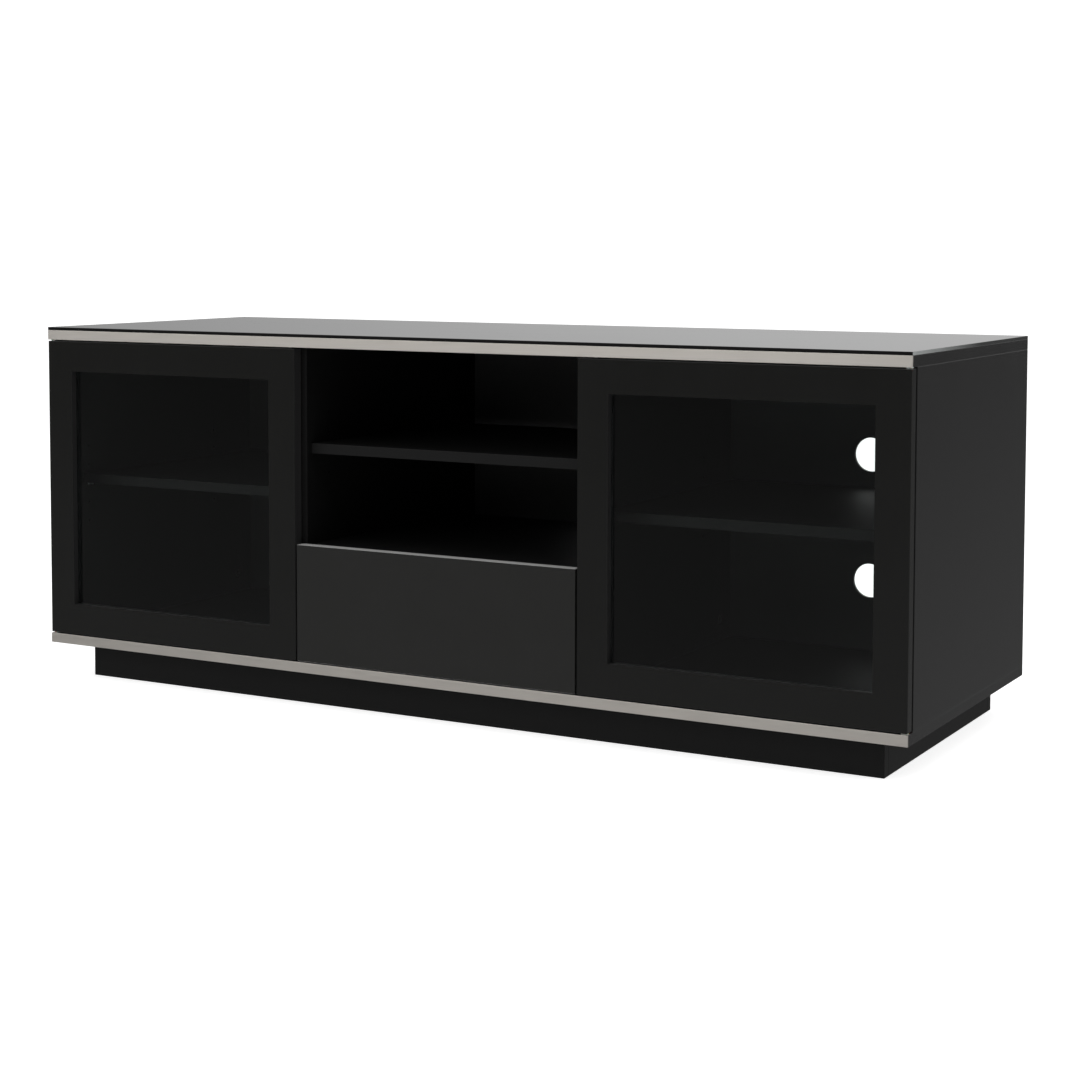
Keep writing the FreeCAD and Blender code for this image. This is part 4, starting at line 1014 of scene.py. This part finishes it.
def make_buffers(side):
    """Clear domes that the door closes against."""
    places = []
    for points in solids(f"door_buffers_{side}"):
        low, high = corners(points)
        centre = (low + high) / 2
        places.append((Vector((centre.x, low.y, centre.z)), Vector((0, 1, 0)), Vector((0, 0, 1))))
    # all four are alike, so the last one gives the size
    radius, tall = (high.x - low.x) / 2, high.y - low.y
    steps = 6
    profile = [(0, 0), (radius, 0), (radius, 0.2 * tall)]
    for step in range(1, steps):
        angle = math.pi / 2 * step / steps
        profile.append((radius * math.cos(angle), tall * (0.2 + 0.8 * math.sin(angle))))
    profile.append((0, tall))
    mesh = set_out(f"door_bumpers_{side}", places, lathe("bumper", profile), MATERIALS["clear_rubber"])
    keep(f"door_bumpers_{side}", mesh, f"door_{side}", "clear_rubber", f"door_buffers_{side}")


# ---------------------------------------------------------------------- studio

# place, target and size of each lamp
LAMPS = {
    "key": ((0.6, -0.8, 3.2), (0, 0, 0.3), (3.6, 2.6)),
    "side": ((3.6, 0.4, 1.9), (0.7, 0, 0.3), (2.4, 1.8)),
    "front": ((-2.0, -3.2, 2.0), (0, -0.2, 0.3), (4.0, 1.8)),
}


def add_lamp(name, place, target, size, power):
    """A soft rectangular lamp that shines at a point and isn't seen itself."""
    light = bpy.data.lights.new(name, "AREA")
    light.shape = "RECTANGLE"
    light.size, light.size_y = size
    light.energy = power
    lamp = bpy.data.objects.new(name, light)
    lamp.location = place
    lamp.rotation_euler = (Vector(target) - lamp.location).to_track_quat("-Z", "Y").to_euler()
    lamp.visible_camera = False
    bpy.context.scene.collection.objects.link(lamp)


def make_floor(studio):
    """A plain pale floor, which the gloss surfaces don't mirror."""
    half = studio.floor_wide / 2
    mesh = bpy.data.meshes.new("floor")
    square = [(-half, -half, 0), (half, -half, 0), (half, half, 0), (-half, half, 0)]
    mesh.from_pydata(square, [], [(0, 1, 2, 3)])
    floor = new_piece("floor", mesh)
    material, tree, shader = new_material("Pale studio floor", Roughness=0.9)
    shader.inputs["Base Color"].default_value = (0.85, 0.85, 0.85, 1.0)
    shader.inputs["Specular IOR Level"].default_value = 0.0
    shader.inputs["Emission Color"].default_value = (1.0, 1.0, 1.0, 1.0)
    shader.inputs["Emission Strength"].default_value = studio.floor_glow
    mesh.materials.append(material)
    floor.visible_glossy = False


def make_world(studio):
    """A white surround with a room of soft light in its reflections."""
    world = bpy.data.worlds.new("Studio")
    world.use_nodes = True
    tree = world.node_tree
    tree.nodes.clear()
    place = node(tree, "ShaderNodeTexCoord").outputs["Generated"]
    parts = node(tree, "ShaderNodeSeparateXYZ", links={"Vector": place}).outputs
    # a glow behind the cabinet, from eye level up, which its top mirrors at a glancing angle
    towards = node(
        tree, "ShaderNodeVectorMath", operation="DOT_PRODUCT",
        values={1: (-0.20, 0.96, 0.20)}, links={0: place},
    )
    ahead = calculate(tree, "MAXIMUM", towards.outputs["Value"], 0.0)
    above = node(
        tree, "ShaderNodeMapRange", interpolation_type="SMOOTHSTEP",
        values={"From Min": -0.05, "From Max": 0.03, "To Min": 0.0, "To Max": studio.room_glow},
        links={"Value": parts["Z"]},
    )
    glow = calculate(tree, "POWER", ahead, 4.5)
    lit = calculate(tree, "MULTIPLY_ADD", glow, above.outputs["Result"], studio.room_dark)
    # the room is dark at eye level and lighter up and down, but less so down behind the cabinet
    share = spread(tree, parts["Y"], -1.0, -0.42, start=0.0, end=1.0)
    down = calculate(tree, "MULTIPLY", parts["Z"], share)
    upright = calculate(tree, "MAXIMUM", parts["Z"], down)
    level = calculate(tree, "MULTIPLY_ADD", upright, studio.room_ends, lit)
    white_light = {"Color": (1.0, 1.0, 1.0, 1.0)}
    room = node(tree, "ShaderNodeBackground", values=white_light, links={"Strength": level})
    white = node(tree, "ShaderNodeBackground", values={**white_light, "Strength": 1.1})
    path = node(tree, "ShaderNodeLightPath")
    chosen = node(
        tree, "ShaderNodeMixShader",
        links={
            0: path.outputs["Is Camera Ray"],
            1: room.outputs["Background"],
            2: white.outputs["Background"],
        },
    )
    node(tree, "ShaderNodeOutputWorld", links={"Surface": chosen.outputs["Shader"]})
    bpy.context.scene.world = world


def make_camera(studio):
    """The camera, a little above the cabinet and well to its right."""
    data = bpy.data.cameras.new("camera")
    data.lens = studio.lens
    data.shift_x = studio.slide
    data.shift_y = studio.rise
    camera = bpy.data.objects.new("camera", data)
    tilt, roll, heading = studio.camera_turn
    camera.matrix_world = (
        Matrix.Translation(studio.camera_place)
        @ Matrix.Rotation(heading, 4, "Z")
        @ Matrix.Rotation(tilt, 4, "X")
        @ Matrix.Rotation(roll, 4, "Z")
    )
    bpy.context.scene.collection.objects.link(camera)
    bpy.context.scene.camera = camera


# ------------------------------------------------------------------- operators

class CABINET_OT_finish(bpy.types.Operator):
    """Give every board, pane, trim and fitting its finish"""

    bl_idname = "cabinet.finish"
    bl_label = "Finish boards and glass"

    def execute(self, context):
        MATERIALS.update(make_materials(context.scene.cabinet_finishes))
        for part in frame["record"]["subparts"]:
            name = part["node"]
            material = MATERIALS[OWN_MATERIALS.get(name, part["material_slot"])]
            slots = frame["nodes"][name].data.materials
            slots.clear()
            slots.append(material)
        return {"FINISHED"}


class CABINET_OT_screws(bpy.types.Operator):
    """Make the wood screws of the carcass and of the drawer box"""

    bl_idname = "cabinet.screws"
    bl_label = "Wood screws"

    def execute(self, context):
        sizes = context.scene.cabinet_fittings
        make_screws("wood_screws", "root", "carcass_screws", sizes)
        make_screws("drawer_box_screws", "drawer", "drawer_screws", sizes)
        return {"FINISHED"}


class CABINET_OT_cam_locks(bpy.types.Operator):
    """Make the cam locks"""

    bl_idname = "cabinet.cam_locks"
    bl_label = "Cam locks"

    def execute(self, context):
        make_cam_locks(context.scene.cabinet_fittings)
        return {"FINISHED"}


class CABINET_OT_pegs(bpy.types.Operator):
    """Make the shelf pegs"""

    bl_idname = "cabinet.pegs"
    bl_label = "Shelf pegs"

    def execute(self, context):
        make_pegs(context.scene.cabinet_fittings)
        return {"FINISHED"}


class CABINET_OT_ball_cages(bpy.types.Operator):
    """Make the drawer runners' balls and their cages"""

    bl_idname = "cabinet.ball_cages"
    bl_label = "Runner balls"

    def execute(self, context):
        make_ball_cages(context.scene.cabinet_fittings)
        return {"FINISHED"}


class CABINET_OT_latches(bpy.types.Operator):
    """Make the push latches with their plungers, and what they push against"""

    bl_idname = "cabinet.latches"
    bl_label = "Push latches"

    def execute(self, context):
        sizes = context.scene.cabinet_fittings
        for name in ("left", "right", "drawer"):
            make_latch(name, sizes)
            make_plunger(name)
        for side in ("left", "right"):
            make_strike(side, sizes)
            make_buffers(side)
        return {"FINISHED"}


class CABINET_OT_studio(bpy.types.Operator):
    """Set up the floor, the light and the camera"""

    bl_idname = "cabinet.studio"
    bl_label = "Studio"

    def execute(self, context):
        studio = context.scene.cabinet_studio
        make_floor(studio)
        make_world(studio)
        for name, (place, target, size) in LAMPS.items():
            add_lamp(name, place, target, size, getattr(studio, f"{name}_power"))
        make_camera(studio)
        context.scene.view_settings.view_transform = "Standard"
        return {"FINISHED"}


class CABINET_PT_panel(bpy.types.Panel):
    """The cabinet's settings and steps"""

    bl_idname = "CABINET_PT_panel"
    bl_label = "Media cabinet"
    bl_space_type = "VIEW_3D"
    bl_region_type = "UI"
    bl_category = "Cabinet"

    def draw(self, context):
        for settings in ("cabinet_finishes", "cabinet_fittings", "cabinet_studio"):
            group = getattr(context.scene, settings)
            box = self.layout.box()
            for name in group.__annotations__:
                box.prop(group, name)
        for operator in OPERATORS:
            self.layout.operator(operator.bl_idname)


OPERATORS = (
    CABINET_OT_finish, CABINET_OT_screws, CABINET_OT_cam_locks, CABINET_OT_pegs,
    CABINET_OT_ball_cages, CABINET_OT_latches, CABINET_OT_studio,
)
GROUPS = {
    "cabinet_finishes": CabinetFinishes,
    "cabinet_fittings": CabinetFittings,
    "cabinet_studio": CabinetStudio,
}


def register():
    """Register the settings, the operators and the panel."""
    for name, group in GROUPS.items():
        bpy.utils.register_class(group)
        setattr(bpy.types.Scene, name, PointerProperty(type=group))
    for operator in OPERATORS:
        bpy.utils.register_class(operator)
    bpy.utils.register_class(CABINET_PT_panel)


def unregister():
    """Take back everything that register added."""
    bpy.utils.unregister_class(CABINET_PT_panel)
    for operator in reversed(OPERATORS):
        bpy.utils.unregister_class(operator)
    for name, group in GROUPS.items():
        delattr(bpy.types.Scene, name)
        bpy.utils.unregister_class(group)


def main():
    """Make the whole cabinet."""
    register()
    for step in (
        bpy.ops.cabinet.finish, bpy.ops.cabinet.screws, bpy.ops.cabinet.cam_locks, bpy.ops.cabinet.pegs,
        bpy.ops.cabinet.ball_cages, bpy.ops.cabinet.latches, bpy.ops.cabinet.studio,
    ):
        step()


if __name__ == "__main__":
    main()
